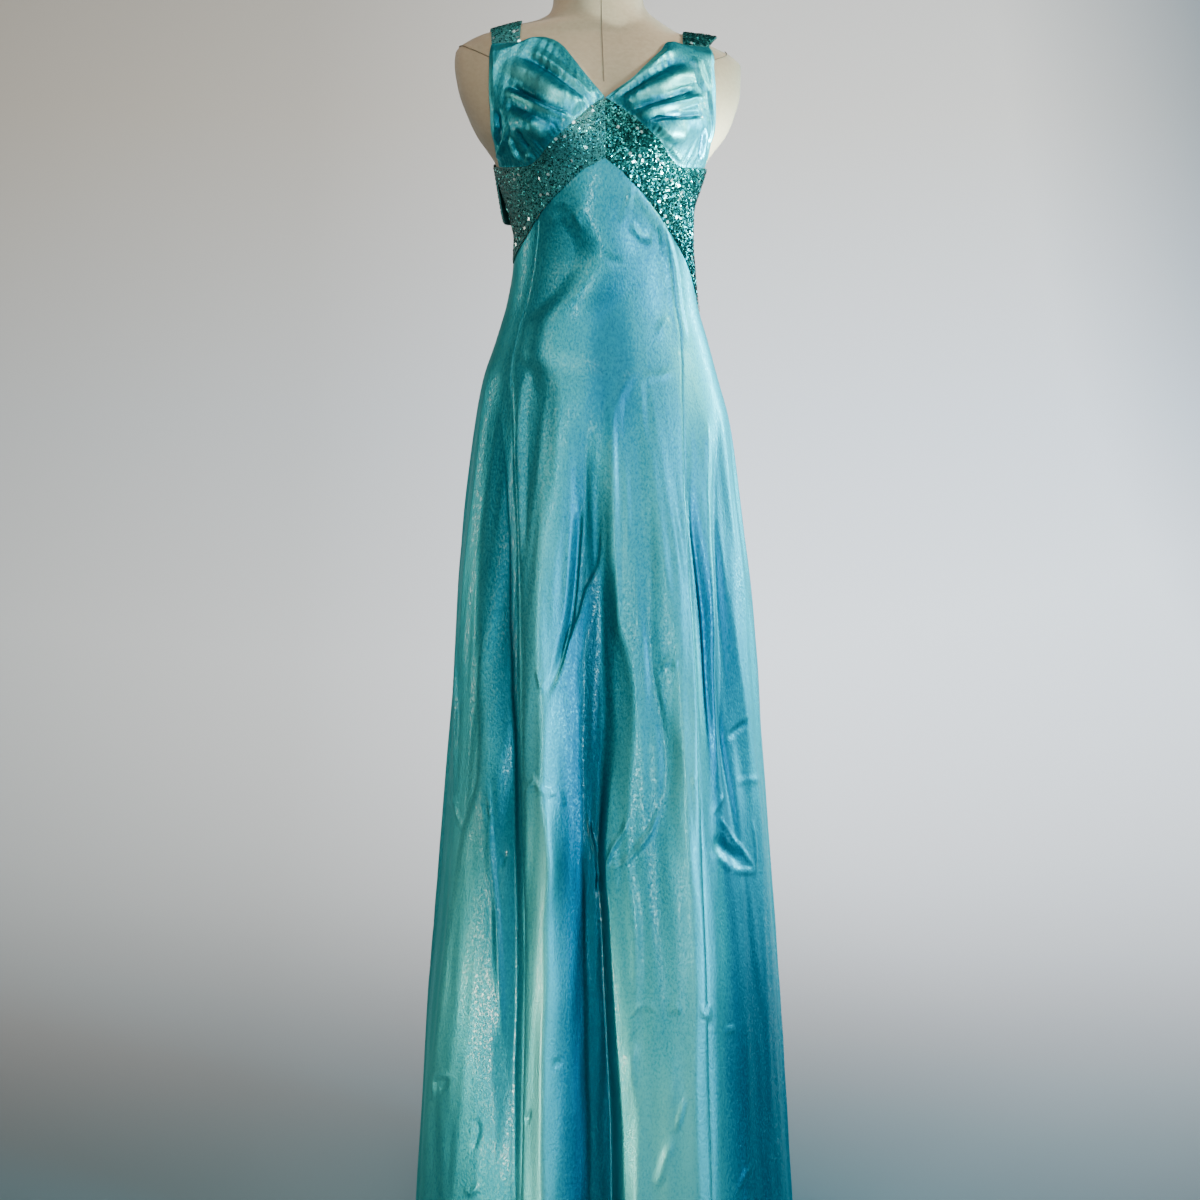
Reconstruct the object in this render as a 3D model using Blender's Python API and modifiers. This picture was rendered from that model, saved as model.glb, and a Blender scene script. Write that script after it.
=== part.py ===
"""A floor-length satin evening gown worn by a limbless dress form on a pole stand.

Metres, +Z up.  The gown faces -Y, its left side as seen from the front is -X, and the origin
is on the floor under the middle of the stand.  An angle goes round the gown from its centre
front: 0 is the front, +90 the +X side, -90 the -X side and 180 the centre back.

Every cloth piece is a wall between an outer and an inner surface.  Both are read from one
surface, worked out from the rings, the bust and the folds below, so pieces that meet at a
seam keep the same gap through the whole wall.
"""
from collections import namedtuple

import bmesh
import bpy
import numpy as np

# ------------------------------------------------------------------ driving dimensions
WALL = 0.0015            # thickness of the cloth walls
SEAM_GAP = 0.0003        # gap between two pieces at a seam
STEEP_GAP = 0.0006       # the same gap, measured along Z on the slanting band seams
SEAM_TURN = 0.15         # the same gap at a side seam, in degrees

HEM_Z = 0.012            # the hem hangs just clear of the floor
FORM_FOOT_Z = 1.000      # flat underside of the torso
FORM_TOP_Z = 1.665       # flat top of the neck
STRAP_SEAM_Z = 1.569     # where a cup is sewn to its strap
BACK_TOP_Z = 1.430       # top edge of the back band
BACK_LOW_Z = 1.352       # bottom edge of the back band
CHEVRON_TOP_Z = 1.499    # point of the V neck, top of the sequined band
CHEVRON_LOW_Z = 1.424    # point of the skirt's centre panel, bottom of the band

ARMHOLE_FOOT = 77.0      # where an armhole starts on the band, degrees from the front
SIDE_SEAM = 88.0         # angle of the side seams
STRAP_WIDTH = 0.040
STRAP_LIFT = 0.0003      # room for the facets of the shoulder under the straps
STRAP_CORE_Z = 1.500     # height the straps' arcs are swung about
BAND_FLARE = 0.008       # the back band stands off at its lower left corner
SPREAD_FROM_Z = 0.95     # the skirt's columns leave its folds here
SPREAD_OVER = 0.25       # and are evenly spread this much higher
CUP_COLUMNS = 16         # columns of a cup's mesh, shared with the band below it
UNDERARM_COLUMNS = 2     # columns of the band between the cup and the side seam

POLE_RADIUS = 0.0125
FOOT_RADIUS = 0.165
FOOT_THICKNESS = 0.008
SOCKET_RADIUS = 0.024
SOCKET_TOP_Z = 0.045
RIM = 0.003              # bevel round the foot and the socket
FACE_GAP = 0.0003        # gap between hard pieces that meet face to face

# Half sizes of the garment's outer surface at each height: to its left and right sides as
# seen from the front, and to its front and back.
Ring = namedtuple("Ring", "z left right front back")
RINGS = [
    Ring(0.012, 0.2415, 0.2575, 0.2250, 0.2400),    # hem
    Ring(0.199, 0.2290, 0.2450, 0.2120, 0.2240),
    Ring(0.334, 0.2210, 0.2370, 0.2010, 0.2110),
    Ring(0.468, 0.2090, 0.2280, 0.1880, 0.1970),
    Ring(0.680, 0.1940, 0.2150, 0.1660, 0.1750),    # knee
    Ring(0.891, 0.1800, 0.1970, 0.1380, 0.1470),
    Ring(0.995, 0.1700, 0.1840, 0.1230, 0.1320),
    Ring(1.098, 0.1580, 0.1700, 0.1100, 0.1130),    # hip
    Ring(1.150, 0.1490, 0.1560, 0.1030, 0.0980),
    Ring(1.201, 0.1320, 0.1420, 0.0945, 0.0870),
    Ring(1.252, 0.1170, 0.1280, 0.0895, 0.0830),    # waist
    Ring(1.293, 0.1100, 0.1240, 0.0900, 0.0860),
    Ring(1.329, 0.1080, 0.1215, 0.0935, 0.0920),
    Ring(1.361, 0.1150, 0.1220, 0.0975, 0.0980),
    Ring(1.400, 0.1275, 0.1330, 0.1035, 0.1045),    # underbust
    Ring(1.424, 0.1345, 0.1415, 0.1060, 0.1080),
    Ring(1.440, 0.1450, 0.1520, 0.1065, 0.1095),
    Ring(1.456, 0.1565, 0.1650, 0.1065, 0.1110),
    Ring(1.481, 0.1690, 0.1770, 0.1020, 0.1115),
    Ring(1.519, 0.1820, 0.1860, 0.0895, 0.1085),    # armhole
    Ring(1.549, 0.1855, 0.1860, 0.0775, 0.1010),
    Ring(1.564, 0.1840, 0.1720, 0.0708, 0.0962),
    Ring(1.572, 0.1790, 0.1560, 0.0670, 0.0930),    # shoulder, lower on the +X side
    Ring(1.580, 0.1670, 0.1380, 0.0634, 0.0890),
    Ring(1.587, 0.1530, 0.1190, 0.0608, 0.0850),
    Ring(1.592, 0.1370, 0.1040, 0.0600, 0.0815),
    Ring(1.598, 0.1160, 0.0930, 0.0590, 0.0770),
    Ring(1.607, 0.0790, 0.0790, 0.0570, 0.0700),    # foot of the neck
    Ring(1.617, 0.0630, 0.0660, 0.0555, 0.0640),
    Ring(1.628, 0.0595, 0.0600, 0.0545, 0.0600),
    Ring(1.665, 0.0580, 0.0580, 0.0530, 0.0570),    # top of the neck
]
ROUNDNESS = 2.2          # 2 is an ellipse, more is squarer

# The two bust cups swell out of the rings.
BUST_ANGLE = 33.0
BUST_Z = 1.468
BUST_DEPTH = 0.034       # of the gown, whose cups stand a little clear of the form's own
FORM_BUST_DEPTH = 0.028
BUST_SPREAD = 17.0       # degrees each way
BUST_ABOVE = 0.052       # how far the swell reaches upwards, and below, downwards
BUST_BELOW = 0.034

# How far the form's own surface lies inside the cloth's outer surface.
Ease = namedtuple("Ease", "z depth")
EASE = [
    Ease(1.000, 0.0170),
    Ease(1.050, 0.0100),
    Ease(1.100, 0.0055),
    Ease(1.150, 0.0034),
    Ease(1.200, 0.0026),
    Ease(1.250, 0.0026),
    Ease(1.400, 0.0032),
    Ease(1.500, 0.0034),
    Ease(1.560, 0.0023),
    Ease(1.665, 0.0022),
]

# The folds of the skirt: lines that run down it, in order round it from the centre back.
# Each is a few spots of height, angle and how far the cloth lies out (+, a ridge) or in
# (-, a valley).  The cloth lies nearly flat between two lines and turns over each of them
# within FOLD_SOFT to either side.
FOLD_SOFT = 0.004
Spot = namedtuple("Spot", "z angle height")
BACK_FOLDS_LEFT = [
    [Spot(1.05, -176.0, 0.0), Spot(0.80, -176.0, -0.006), Spot(0.50, -175.0, -0.015),
     Spot(0.20, -176.0, -0.022), Spot(HEM_Z, -177.0, -0.025)],
    [Spot(1.16, -157.0, 0.0), Spot(0.85, -156.0, 0.008), Spot(0.50, -157.0, 0.015),
     Spot(HEM_Z, -157.0, 0.019)],
    [Spot(1.05, -140.0, 0.0), Spot(0.80, -139.0, -0.007), Spot(0.50, -140.0, -0.017),
     Spot(HEM_Z, -139.0, -0.023)],
    [Spot(1.14, -121.0, 0.0), Spot(0.85, -121.0, 0.007), Spot(0.55, -123.0, 0.013),
     Spot(HEM_Z, -122.0, 0.017)],
    [Spot(1.05, -105.0, 0.0), Spot(0.80, -106.0, -0.004), Spot(0.50, -105.0, -0.010),
     Spot(HEM_Z, -106.0, -0.013)],
]
SIDE_FOLDS_LEFT = [
    # the ridge round the flat left side
    [Spot(1.18, -75.0, 0.0), Spot(1.00, -68.0, 0.003), Spot(0.80, -59.0, 0.006),
     Spot(0.65, -54.0, 0.008), Spot(0.50, -63.0, 0.011), Spot(0.35, -67.0, 0.011),
     Spot(0.20, -74.0, 0.009), Spot(HEM_Z, -75.0, 0.007)],
    # the tuck beside the left seam
    [Spot(1.16, -66.0, 0.0), Spot(1.00, -55.5, -0.006), Spot(0.80, -47.5, -0.011),
     Spot(0.65, -42.5, -0.014), Spot(0.50, -40.0, -0.019), Spot(0.35, -38.0, -0.023),
     Spot(HEM_Z, -34.5, -0.020)],
]
FRONT_FOLDS = [
    [Spot(1.10, -53.0, 0.0), Spot(0.90, -43.0, 0.002), Spot(0.65, -36.0, -0.001),
     Spot(0.50, -32.5, -0.008), Spot(0.35, -31.0, -0.012), Spot(HEM_Z, -29.5, -0.012)],
    # the ridge left of the centre
    [Spot(1.20, -28.0, 0.0), Spot(1.05, -29.0, 0.003), Spot(0.90, -32.0, 0.004),
     Spot(0.65, -28.5, 0.001), Spot(0.50, -24.5, -0.003), Spot(0.35, -25.0, -0.006),
     Spot(HEM_Z, -23.5, -0.006)],
    # the deep centre valley: down its left wall, across its floor and up its right wall
    [Spot(1.15, -9.0, 0.0), Spot(1.00, -14.0, -0.011), Spot(0.90, -17.0, -0.019),
     Spot(0.80, -21.0, -0.018), Spot(0.65, -20.5, -0.022), Spot(0.50, -19.0, -0.026),
     Spot(0.35, -18.0, -0.028), Spot(HEM_Z, -17.0, -0.028)],
    [Spot(1.15, -6.5, 0.0), Spot(1.00, -9.5, -0.010), Spot(0.90, -11.5, -0.019),
     Spot(0.80, -14.5, -0.024), Spot(0.65, -14.5, -0.034), Spot(0.50, -13.0, -0.041),
     Spot(0.35, -11.0, -0.047), Spot(HEM_Z, -9.5, -0.050)],
    [Spot(1.15, -4.5, 0.0), Spot(1.00, -2.5, -0.009), Spot(0.80, -1.5, -0.021),
     Spot(0.65, -3.0, -0.031), Spot(0.50, -3.5, -0.043), Spot(0.35, -1.0, -0.050),
     Spot(HEM_Z, 1.5, -0.052)],
    [Spot(1.15, -1.0, 0.0), Spot(1.00, 0.5, -0.006), Spot(0.80, 3.0, -0.013),
     Spot(0.65, 1.5, -0.017), Spot(0.50, -0.5, -0.012), Spot(0.35, 2.0, -0.011),
     Spot(HEM_Z, 4.5, -0.009)],
    # the wide face right of the valley, up to the ridge beside the right seam
    [Spot(1.20, 4.0, 0.0), Spot(1.05, 3.5, 0.001), Spot(0.80, 9.5, -0.001),
     Spot(0.65, 8.5, -0.004), Spot(0.50, 8.0, -0.001), Spot(0.35, 9.0, 0.003),
     Spot(HEM_Z, 9.0, 0.004)],
    [Spot(1.10, 18.0, 0.0), Spot(0.80, 20.0, 0.001), Spot(0.65, 19.0, 0.002),
     Spot(0.50, 17.5, 0.005), Spot(0.35, 17.0, 0.008), Spot(HEM_Z, 16.0, 0.009)],
    [Spot(1.16, 31.0, 0.0), Spot(1.00, 28.0, 0.007), Spot(0.80, 29.0, 0.013),
     Spot(0.65, 28.0, 0.017), Spot(0.50, 27.0, 0.023), Spot(0.35, 25.5, 0.027),
     Spot(HEM_Z, 24.5, 0.027)],
]
RIGHT_SEAM_FOLD = [
    Spot(1.20, 53.0, 0.0), Spot(1.10, 46.5, 0.004), Spot(0.925, 39.5, 0.012),
    Spot(0.70, 35.0, 0.019), Spot(0.50, 32.0, 0.024), Spot(0.38, 30.5, 0.027),
    Spot(HEM_Z, 28.5, 0.027)]
SIDE_FOLDS_RIGHT = [
    [Spot(1.16, 57.0, 0.0), Spot(1.00, 46.5, 0.003), Spot(0.80, 42.5, 0.005),
     Spot(0.65, 39.0, 0.012), Spot(0.50, 35.5, 0.021), Spot(0.35, 33.0, 0.024),
     Spot(HEM_Z, 32.0, 0.024)],
    [Spot(1.16, 65.0, 0.0), Spot(1.00, 54.5, 0.005), Spot(0.80, 46.5, 0.011),
     Spot(0.65, 44.0, 0.012), Spot(0.35, 42.5, 0.013), Spot(HEM_Z, 41.0, 0.013)],
    # the hollow right of them
    [Spot(1.16, 73.0, 0.0), Spot(1.00, 61.0, -0.007), Spot(0.80, 54.5, -0.010),
     Spot(0.65, 51.5, -0.006), Spot(0.50, 54.5, 0.002), Spot(HEM_Z, 53.0, 0.003)],
]
BACK_FOLDS_RIGHT = [
    [Spot(1.00, 101.0, 0.0), Spot(0.80, 101.0, -0.003), Spot(0.50, 102.0, -0.007),
     Spot(HEM_Z, 102.0, -0.009)],
    [Spot(1.12, 117.0, 0.0), Spot(0.85, 117.0, 0.007), Spot(0.50, 119.0, 0.013),
     Spot(HEM_Z, 118.0, 0.016)],
    [Spot(1.05, 135.0, 0.0), Spot(0.80, 135.0, -0.006), Spot(0.50, 136.0, -0.015),
     Spot(HEM_Z, 136.0, -0.021)],
    [Spot(1.16, 153.0, 0.0), Spot(0.85, 153.0, 0.008), Spot(0.50, 155.0, 0.015),
     Spot(HEM_Z, 154.0, 0.019)],
    [Spot(0.80, 170.0, 0.0), Spot(0.50, 169.0, -0.006), Spot(HEM_Z, 170.0, -0.009)],
]
SIDE_SEAM_RISE = 0.001   # the side seams lie on low ridges of their own

# The gathers of one cup, from the band up and out: angle and height of both ends, width and
# height out.  They are given for the +X cup and mirrored with their own strength on the other.
Gather = namedtuple("Gather", "angle0 z0 angle1 z1 width height left right")
GATHERS = [
    Gather(12.0, 1.487, 56.0, 1.560, 0.0080, 0.0050, 1.0, 0.8),    # along the neckline
    Gather(19.0, 1.470, 60.0, 1.520, 0.0075, 0.0060, 1.0, 0.5),
    Gather(16.0, 1.478, 56.0, 1.540, 0.0055, -0.0035, 1.0, 1.0),   # fold between them
    Gather(17.0, 1.472, 58.0, 1.496, 0.0065, 0.0045, 0.2, 1.0),
    Gather(24.0, 1.455, 62.0, 1.470, 0.0070, -0.0035, 0.9, 1.0),
    Gather(74.0, 1.422, 54.0, 1.462, 0.0065, 0.0045, 1.0, 0.6),    # up from the side
    Gather(44.0, 1.423, 50.0, 1.455, 0.0080, 0.0035, 0.7, 1.0),
]
CUP_STAND_OFF = 0.0025   # the cups bulge off the form between their seams

# Edges that run round the gown: angle from the centre front, then height.
Edge = namedtuple("Edge", "angle z")
CHEVRON_TOP = [
    Edge(0.0, CHEVRON_TOP_Z), Edge(9.5, 1.488), Edge(17.5, 1.471), Edge(24.0, 1.455),
    Edge(33.0, 1.438), Edge(44.0, 1.421), Edge(52.0, 1.415), Edge(SIDE_SEAM, 1.420),
]
CHEVRON_LOW_LEFT = [
    Edge(0.0, CHEVRON_LOW_Z), Edge(15.0, 1.410), Edge(27.0, 1.391), Edge(39.0, 1.372),
    Edge(50.0, 1.353), Edge(63.0, 1.331), Edge(77.0, 1.312), Edge(SIDE_SEAM, 1.298),
]
CHEVRON_LOW_RIGHT = [
    Edge(0.0, CHEVRON_LOW_Z), Edge(9.0, 1.412), Edge(19.0, 1.395), Edge(31.0, 1.375),
    Edge(42.0, 1.353), Edge(55.0, 1.327), Edge(66.0, 1.303), Edge(SIDE_SEAM, 1.235),
]
NECKLINE_LEFT = [
    Edge(0.0, CHEVRON_TOP_Z), Edge(13.5, 1.525), Edge(25.7, 1.548), Edge(36.4, 1.565),
    Edge(44.8, 1.573), Edge(52.0, 1.576), Edge(60.2, STRAP_SEAM_Z),
]
NECKLINE_RIGHT = [
    Edge(0.0, CHEVRON_TOP_Z), Edge(9.7, 1.510), Edge(18.5, 1.520), Edge(30.5, 1.538),
    Edge(46.5, 1.560), Edge(55.5, 1.5725), Edge(61.5, STRAP_SEAM_Z),
]

# Lines that run up and down: height, then angle from the centre front.
Line = namedtuple("Line", "z angle")
ARMHOLE_LEFT = [
    Line(1.417, ARMHOLE_FOOT), Line(1.450, 68.0), Line(1.487, 65.3), Line(1.524, 66.8),
    Line(STRAP_SEAM_Z, 70.8),
]
ARMHOLE_RIGHT = [
    Line(1.417, ARMHOLE_FOOT), Line(1.451, 66.2), Line(1.488, 64.8), Line(1.526, 67.0),
    Line(1.550, 69.3), Line(STRAP_SEAM_Z, 74.0),
]
SEAM_LEFT = [
    Line(HEM_Z, 31.5), Line(0.400, 34.0), Line(0.700, 39.5), Line(0.925, 45.5),
    Line(1.090, 54.0), Line(1.200, 61.0), Line(1.290, 56.0), Line(1.360, 49.0),
]
SEAM_RIGHT = [
    Line(HEM_Z, 28.5), Line(0.380, 30.5), Line(0.700, 35.0), Line(0.925, 39.5),
    Line(1.125, 47.5), Line(1.213, 54.0), Line(1.276, 52.0), Line(1.360, 42.0),
]

# Middle of each strap across the gown, over the shoulder and at the back, and how far its
# outer edge stands off the top of the shoulder.
StrapRun = namedtuple("StrapRun", "shoulder back stand")
STRAP_RUNS = {
    "left": StrapRun(-0.1170, -0.0920, 0.0),
    "right": StrapRun(0.1280, 0.0960, 0.012),
}

SATIN = ("aqua satin", (0.13, 0.50, 0.50), 0.35, 0.35)
SEQUINS = ("teal sequins", (0.04, 0.26, 0.24), 0.30, 0.60)
LINEN = ("natural linen", (0.62, 0.53, 0.42), 0.90, 0.0)
STEEL = ("brushed steel", (0.55, 0.55, 0.56), 0.35, 1.0)


# ------------------------------------------------------------------ smooth tables
def smooth_curve(knots, values):
    """A curve through the values with no overshoot between two of them."""
    knots = np.array(knots, dtype=float)
    values = np.array(values, dtype=float)
    step = np.diff(knots)
    slope = np.diff(values) / step
    tangent = np.empty_like(values)
    tangent[0] = slope[0]
    tangent[-1] = slope[-1]
    steady = slope[:-1] * slope[1:] > 0.0
    before = np.where(steady, slope[:-1], 1.0)
    after = np.where(steady, slope[1:], 1.0)
    weight_before = 2.0 * step[1:] + step[:-1]
    weight_after = step[1:] + 2.0 * step[:-1]
    mean = (weight_before + weight_after) / (weight_before / before + weight_after / after)
    tangent[1:-1] = np.where(steady, mean, 0.0)

    def curve(x):
        x = np.asarray(x, dtype=float)
        k = np.clip(np.searchsorted(knots, x) - 1, 0, len(step) - 1)
        t = np.clip((x - knots[k]) / step[k], 0.0, 1.0)
        rise = t * t * (3.0 - 2.0 * t)
        return (values[k] * (1.0 - rise) + values[k + 1] * rise
                + step[k] * t * (1.0 - t) * (tangent[k] * (1.0 - t) - tangent[k + 1] * t))

    return curve


def from_table(rows, key, value):
    """The smooth curve of one column of a table over another."""
    return smooth_curve([getattr(row, key) for row in rows], [getattr(row, value) for row in rows])


def soft_step(t):
    t = np.clip(t, 0.0, 1.0)
    return t * t * (3.0 - 2.0 * t)


left_at = from_table(RINGS, "z", "left")
right_at = from_table(RINGS, "z", "right")
front_at = from_table(RINGS, "z", "front")
back_at = from_table(RINGS, "z", "back")
ease_at = from_table(EASE, "z", "depth")
chevron_top_at = from_table(CHEVRON_TOP, "angle", "z")
chevron_low_left_at = from_table(CHEVRON_LOW_LEFT, "angle", "z")
chevron_low_right_at = from_table(CHEVRON_LOW_RIGHT, "angle", "z")
seam_left_at = from_table(SEAM_LEFT, "z", "angle")
seam_right_at = from_table(SEAM_RIGHT, "z", "angle")


# ------------------------------------------------------------------ the surface
def body_radius(angle, z, bust_depth=BUST_DEPTH):
    """Distance of the garment's smooth surface from the axis, folds left out."""
    turn = np.radians(angle)
    side = np.where(np.sin(turn) < 0.0, left_at(z), right_at(z))
    depth = np.where(np.cos(turn) > 0.0, front_at(z), back_at(z))
    ring = (np.abs(np.sin(turn) / side) ** ROUNDNESS
            + np.abs(np.cos(turn) / depth) ** ROUNDNESS) ** (-1.0 / ROUNDNESS)
    spread_z = np.where(z > BUST_Z, BUST_ABOVE, BUST_BELOW)
    bust = np.exp(-((np.abs(angle) - BUST_ANGLE) / BUST_SPREAD) ** 2
                  - ((z - BUST_Z) / spread_z) ** 2)
    return ring + bust_depth * bust


def form_radius(angle, z):
    return body_radius(angle, z, FORM_BUST_DEPTH)


def side_fold(angle):
    """The low ridge along a side seam."""
    return [Spot(1.10, angle, 0.0), Spot(0.80, angle, SIDE_SEAM_RISE),
            Spot(HEM_Z, angle, SIDE_SEAM_RISE)]


ALL_FOLDS = [*BACK_FOLDS_LEFT, side_fold(-SIDE_SEAM), *SIDE_FOLDS_LEFT, *FRONT_FOLDS,
             RIGHT_SEAM_FOLD, *SIDE_FOLDS_RIGHT, side_fold(SIDE_SEAM), *BACK_FOLDS_RIGHT]
fold_angles_at = [from_table(sorted(line), "z", "angle") for line in ALL_FOLDS]
fold_heights_at = [from_table(sorted(line), "z", "height") for line in ALL_FOLDS]


def fold_offset(angle, z):
    """How far the skirt's folds carry its surface out or in."""
    angle, z = np.broadcast_arrays(np.asarray(angle, dtype=float), np.asarray(z, dtype=float))
    lines = np.stack([line(z) for line in fold_angles_at])
    heights = np.stack([line(z) for line in fold_heights_at])
    # the first and the last line are met again past the centre back
    lines = np.concatenate([lines[-1:] - 360.0, lines, lines[:1] + 360.0])
    heights = np.concatenate([heights[-1:], heights, heights[:1]])
    reach = np.degrees(FOLD_SOFT / body_radius(angle, z))
    samples = (-1.0, -0.5, 0.0, 0.5, 1.0)
    total = np.zeros(angle.shape)
    for share in samples:
        turned = (angle + share * reach + 180.0) % 360.0 - 180.0
        k = np.clip((lines <= turned).sum(axis=0) - 1, 0, len(lines) - 2)[None]
        start, end = (np.take_along_axis(lines, k + step, axis=0)[0] for step in (0, 1))
        low, high = (np.take_along_axis(heights, k + step, axis=0)[0] for step in (0, 1))
        total += low + (high - low) * (turned - start) / (end - start)
    return total / len(samples)


def gown_radius(angle, z):
    return body_radius(angle, z) + fold_offset(angle, z)


def point_on(radius, angle, z, lift):
    """Points on a surface, moved `lift` out along its normal, as rows of x, y, z."""
    turn_step = 0.2
    rise_step = 0.0005
    turn = np.radians(angle)
    r = radius(angle, z)
    round_slope = ((radius(angle + turn_step, z) - radius(angle - turn_step, z))
                   / np.radians(2.0 * turn_step))
    rise_slope = (radius(angle, z + rise_step) - radius(angle, z - rise_step)) / (2.0 * rise_step)
    sin, cos = np.sin(turn), np.cos(turn)
    around = np.stack([round_slope * sin + r * cos, r * sin - round_slope * cos, 0.0 * r], axis=-1)
    upward = np.stack([rise_slope * sin, -rise_slope * cos, 1.0 + 0.0 * r], axis=-1)
    normal = np.cross(around, upward)
    normal /= np.linalg.norm(normal, axis=-1, keepdims=True)
    place = np.stack([r * sin, -r * cos, z + 0.0 * r], axis=-1)
    return place + normal * np.asarray(lift)[..., None]


def depth_on(x, z, way):
    """Distance from the side-to-side plane to the surface at x and z, in front (-1) or behind."""
    near = np.zeros_like(x)
    far = np.full_like(x, 0.3)
    for _ in range(40):
        y = 0.5 * (near + far)
        inside = np.hypot(x, y) < body_radius(np.degrees(np.arctan2(x, -way * y)), z)
        near = np.where(inside, y, near)
        far = np.where(inside, far, y)
    return near


# ------------------------------------------------------------------ building
def material_of(name, finish):
    label, colour, roughness, metallic = finish
    material = bpy.data.materials.new(name + " " + label)
    material.use_nodes = True
    shader = material.node_tree.nodes["Principled BSDF"]
    shader.inputs["Base Color"].default_value = (*colour, 1.0)
    shader.inputs["Roughness"].default_value = roughness
    shader.inputs["Metallic"].default_value = metallic
    return material


def add_object(name, mesh, finish):
    piece = bpy.data.objects.new(name, mesh)
    gown.objects.link(piece)
    mesh.materials.append(material_of(name, finish))
    mesh.shade_smooth()
    mesh.set_sharp_from_angle(angle=np.radians(40.0))
    return piece


def closed_mesh(name, bm):
    """The mesh of a closed bmesh, with all its faces turned outwards."""
    bmesh.ops.recalc_face_normals(bm, faces=bm.faces)
    if bm.calc_volume(signed=True) < 0.0:
        bmesh.ops.reverse_faces(bm, faces=bm.faces)
    mesh = bpy.data.meshes.new(name)
    bm.to_mesh(mesh)
    bm.free()
    return mesh


def cloth(name, columns, rows, layer, finish):
    """A wall of cloth: a grid whose copy, extruded from it, becomes the outer surface.

    `layer(u, v, lift)` gives the points at the shares u across and v up, moved out by lift.
    """
    bm = bmesh.new()
    bmesh.ops.create_grid(bm, x_segments=columns, y_segments=rows, size=0.5)
    inner = list(bm.verts)
    shares = np.array([vert.co[:2] for vert in inner]) + 0.5
    grown = bmesh.ops.extrude_face_region(bm, geom=bm.faces[:], use_keep_orig=True)
    outer = [item for item in grown["geom"] if isinstance(item, bmesh.types.BMVert)]
    outer_shares = np.array([vert.co[:2] for vert in outer]) + 0.5
    for verts, share, lift in ((inner, shares, -WALL), (outer, outer_shares, 0.0)):
        for vert, place in zip(verts, layer(share[:, 0], share[:, 1], lift)):
            vert.co = place
    return add_object(name, closed_mesh(name, bm), finish)


def across(r, gap=SEAM_GAP):
    """Half a seam's gap as an angle, at the distance r from the axis."""
    return np.degrees(0.5 * gap / r)


# ------------------------------------------------------------------ bodice
def gather_offset(angle, z, side):
    """How far a cup's gathers carry it out; distances are measured on its front view."""
    spread = body_radius(angle, z) * np.sin(np.radians(np.abs(angle)))
    total = 0.0 * spread
    for gather in GATHERS:
        ends = np.array([gather.angle0, gather.angle1])
        heights = np.array([gather.z0, gather.z1])
        reach = body_radius(ends, heights) * np.sin(np.radians(ends))
        run_x, run_z = reach[1] - reach[0], heights[1] - heights[0]
        length = np.hypot(run_x, run_z)
        along = ((spread - reach[0]) * run_x + (z - heights[0]) * run_z) / length ** 2
        off = ((spread - reach[0]) * run_z - (z - heights[0]) * run_x) / length
        fade = soft_step(along / 0.25 + 0.2) * soft_step((1.25 - along) / 0.35)
        strength = gather.left if side < 0 else gather.right
        total = total + strength * gather.height * fade * np.exp(-(off / gather.width) ** 2)
    return total


def make_cup(name, side, neckline, armhole):
    """A cup: a four-sided patch from the band (v=0) up to the strap (v=1), neckline at u=0."""
    neckline_at = from_table(neckline, "angle", "z")
    armhole_at = from_table(armhole, "z", "angle")
    front_gap = across(front_at(CHEVRON_TOP_Z), 2.0 * SEAM_GAP)
    strap_in, strap_out = neckline[-1].angle, armhole[-1].angle

    def layer(u, v, lift):
        band_angle = front_gap + (ARMHOLE_FOOT - front_gap) * u
        band = np.stack([band_angle, chevron_top_at(band_angle) + 0.5 * STEEP_GAP])
        strap = np.stack([strap_in + (strap_out - strap_in) * u, STRAP_SEAM_Z + 0.0 * u])
        neck_angle = front_gap + (strap_in - front_gap) * v
        neck = np.stack([neck_angle, neckline_at(neck_angle) + 0.5 * STEEP_GAP * (1.0 - v)])
        foot_z = chevron_top_at(ARMHOLE_FOOT) + 0.5 * STEEP_GAP
        arm_z = foot_z + (STRAP_SEAM_Z - foot_z) * v
        arm = np.stack([armhole_at(arm_z), arm_z])
        corners = [np.array([[band_angle.min()], [CHEVRON_TOP_Z + 0.5 * STEEP_GAP]]),
                   np.array([[ARMHOLE_FOOT], [foot_z]]),
                   np.array([[strap_in], [STRAP_SEAM_Z]]),
                   np.array([[strap_out], [STRAP_SEAM_Z]])]
        patch = ((1.0 - v) * band + v * strap + (1.0 - u) * neck + u * arm
                 - (1.0 - u) * (1.0 - v) * corners[0] - u * (1.0 - v) * corners[1]
                 - (1.0 - u) * v * corners[2] - u * v * corners[3])
        angle, z = patch
        free = soft_step(v / 0.12) * soft_step((1.0 - v) / 0.12)
        free_sides = 0.35 + 0.65 * soft_step(u / 0.15) * soft_step((1.0 - u) / 0.12)
        stand_off = CUP_STAND_OFF + np.maximum(gather_offset(angle, z, side), -CUP_STAND_OFF)
        return point_on(body_radius, side * angle, z, lift + free * free_sides * stand_off)

    cloth(name, CUP_COLUMNS, 12, layer, SATIN)


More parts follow.
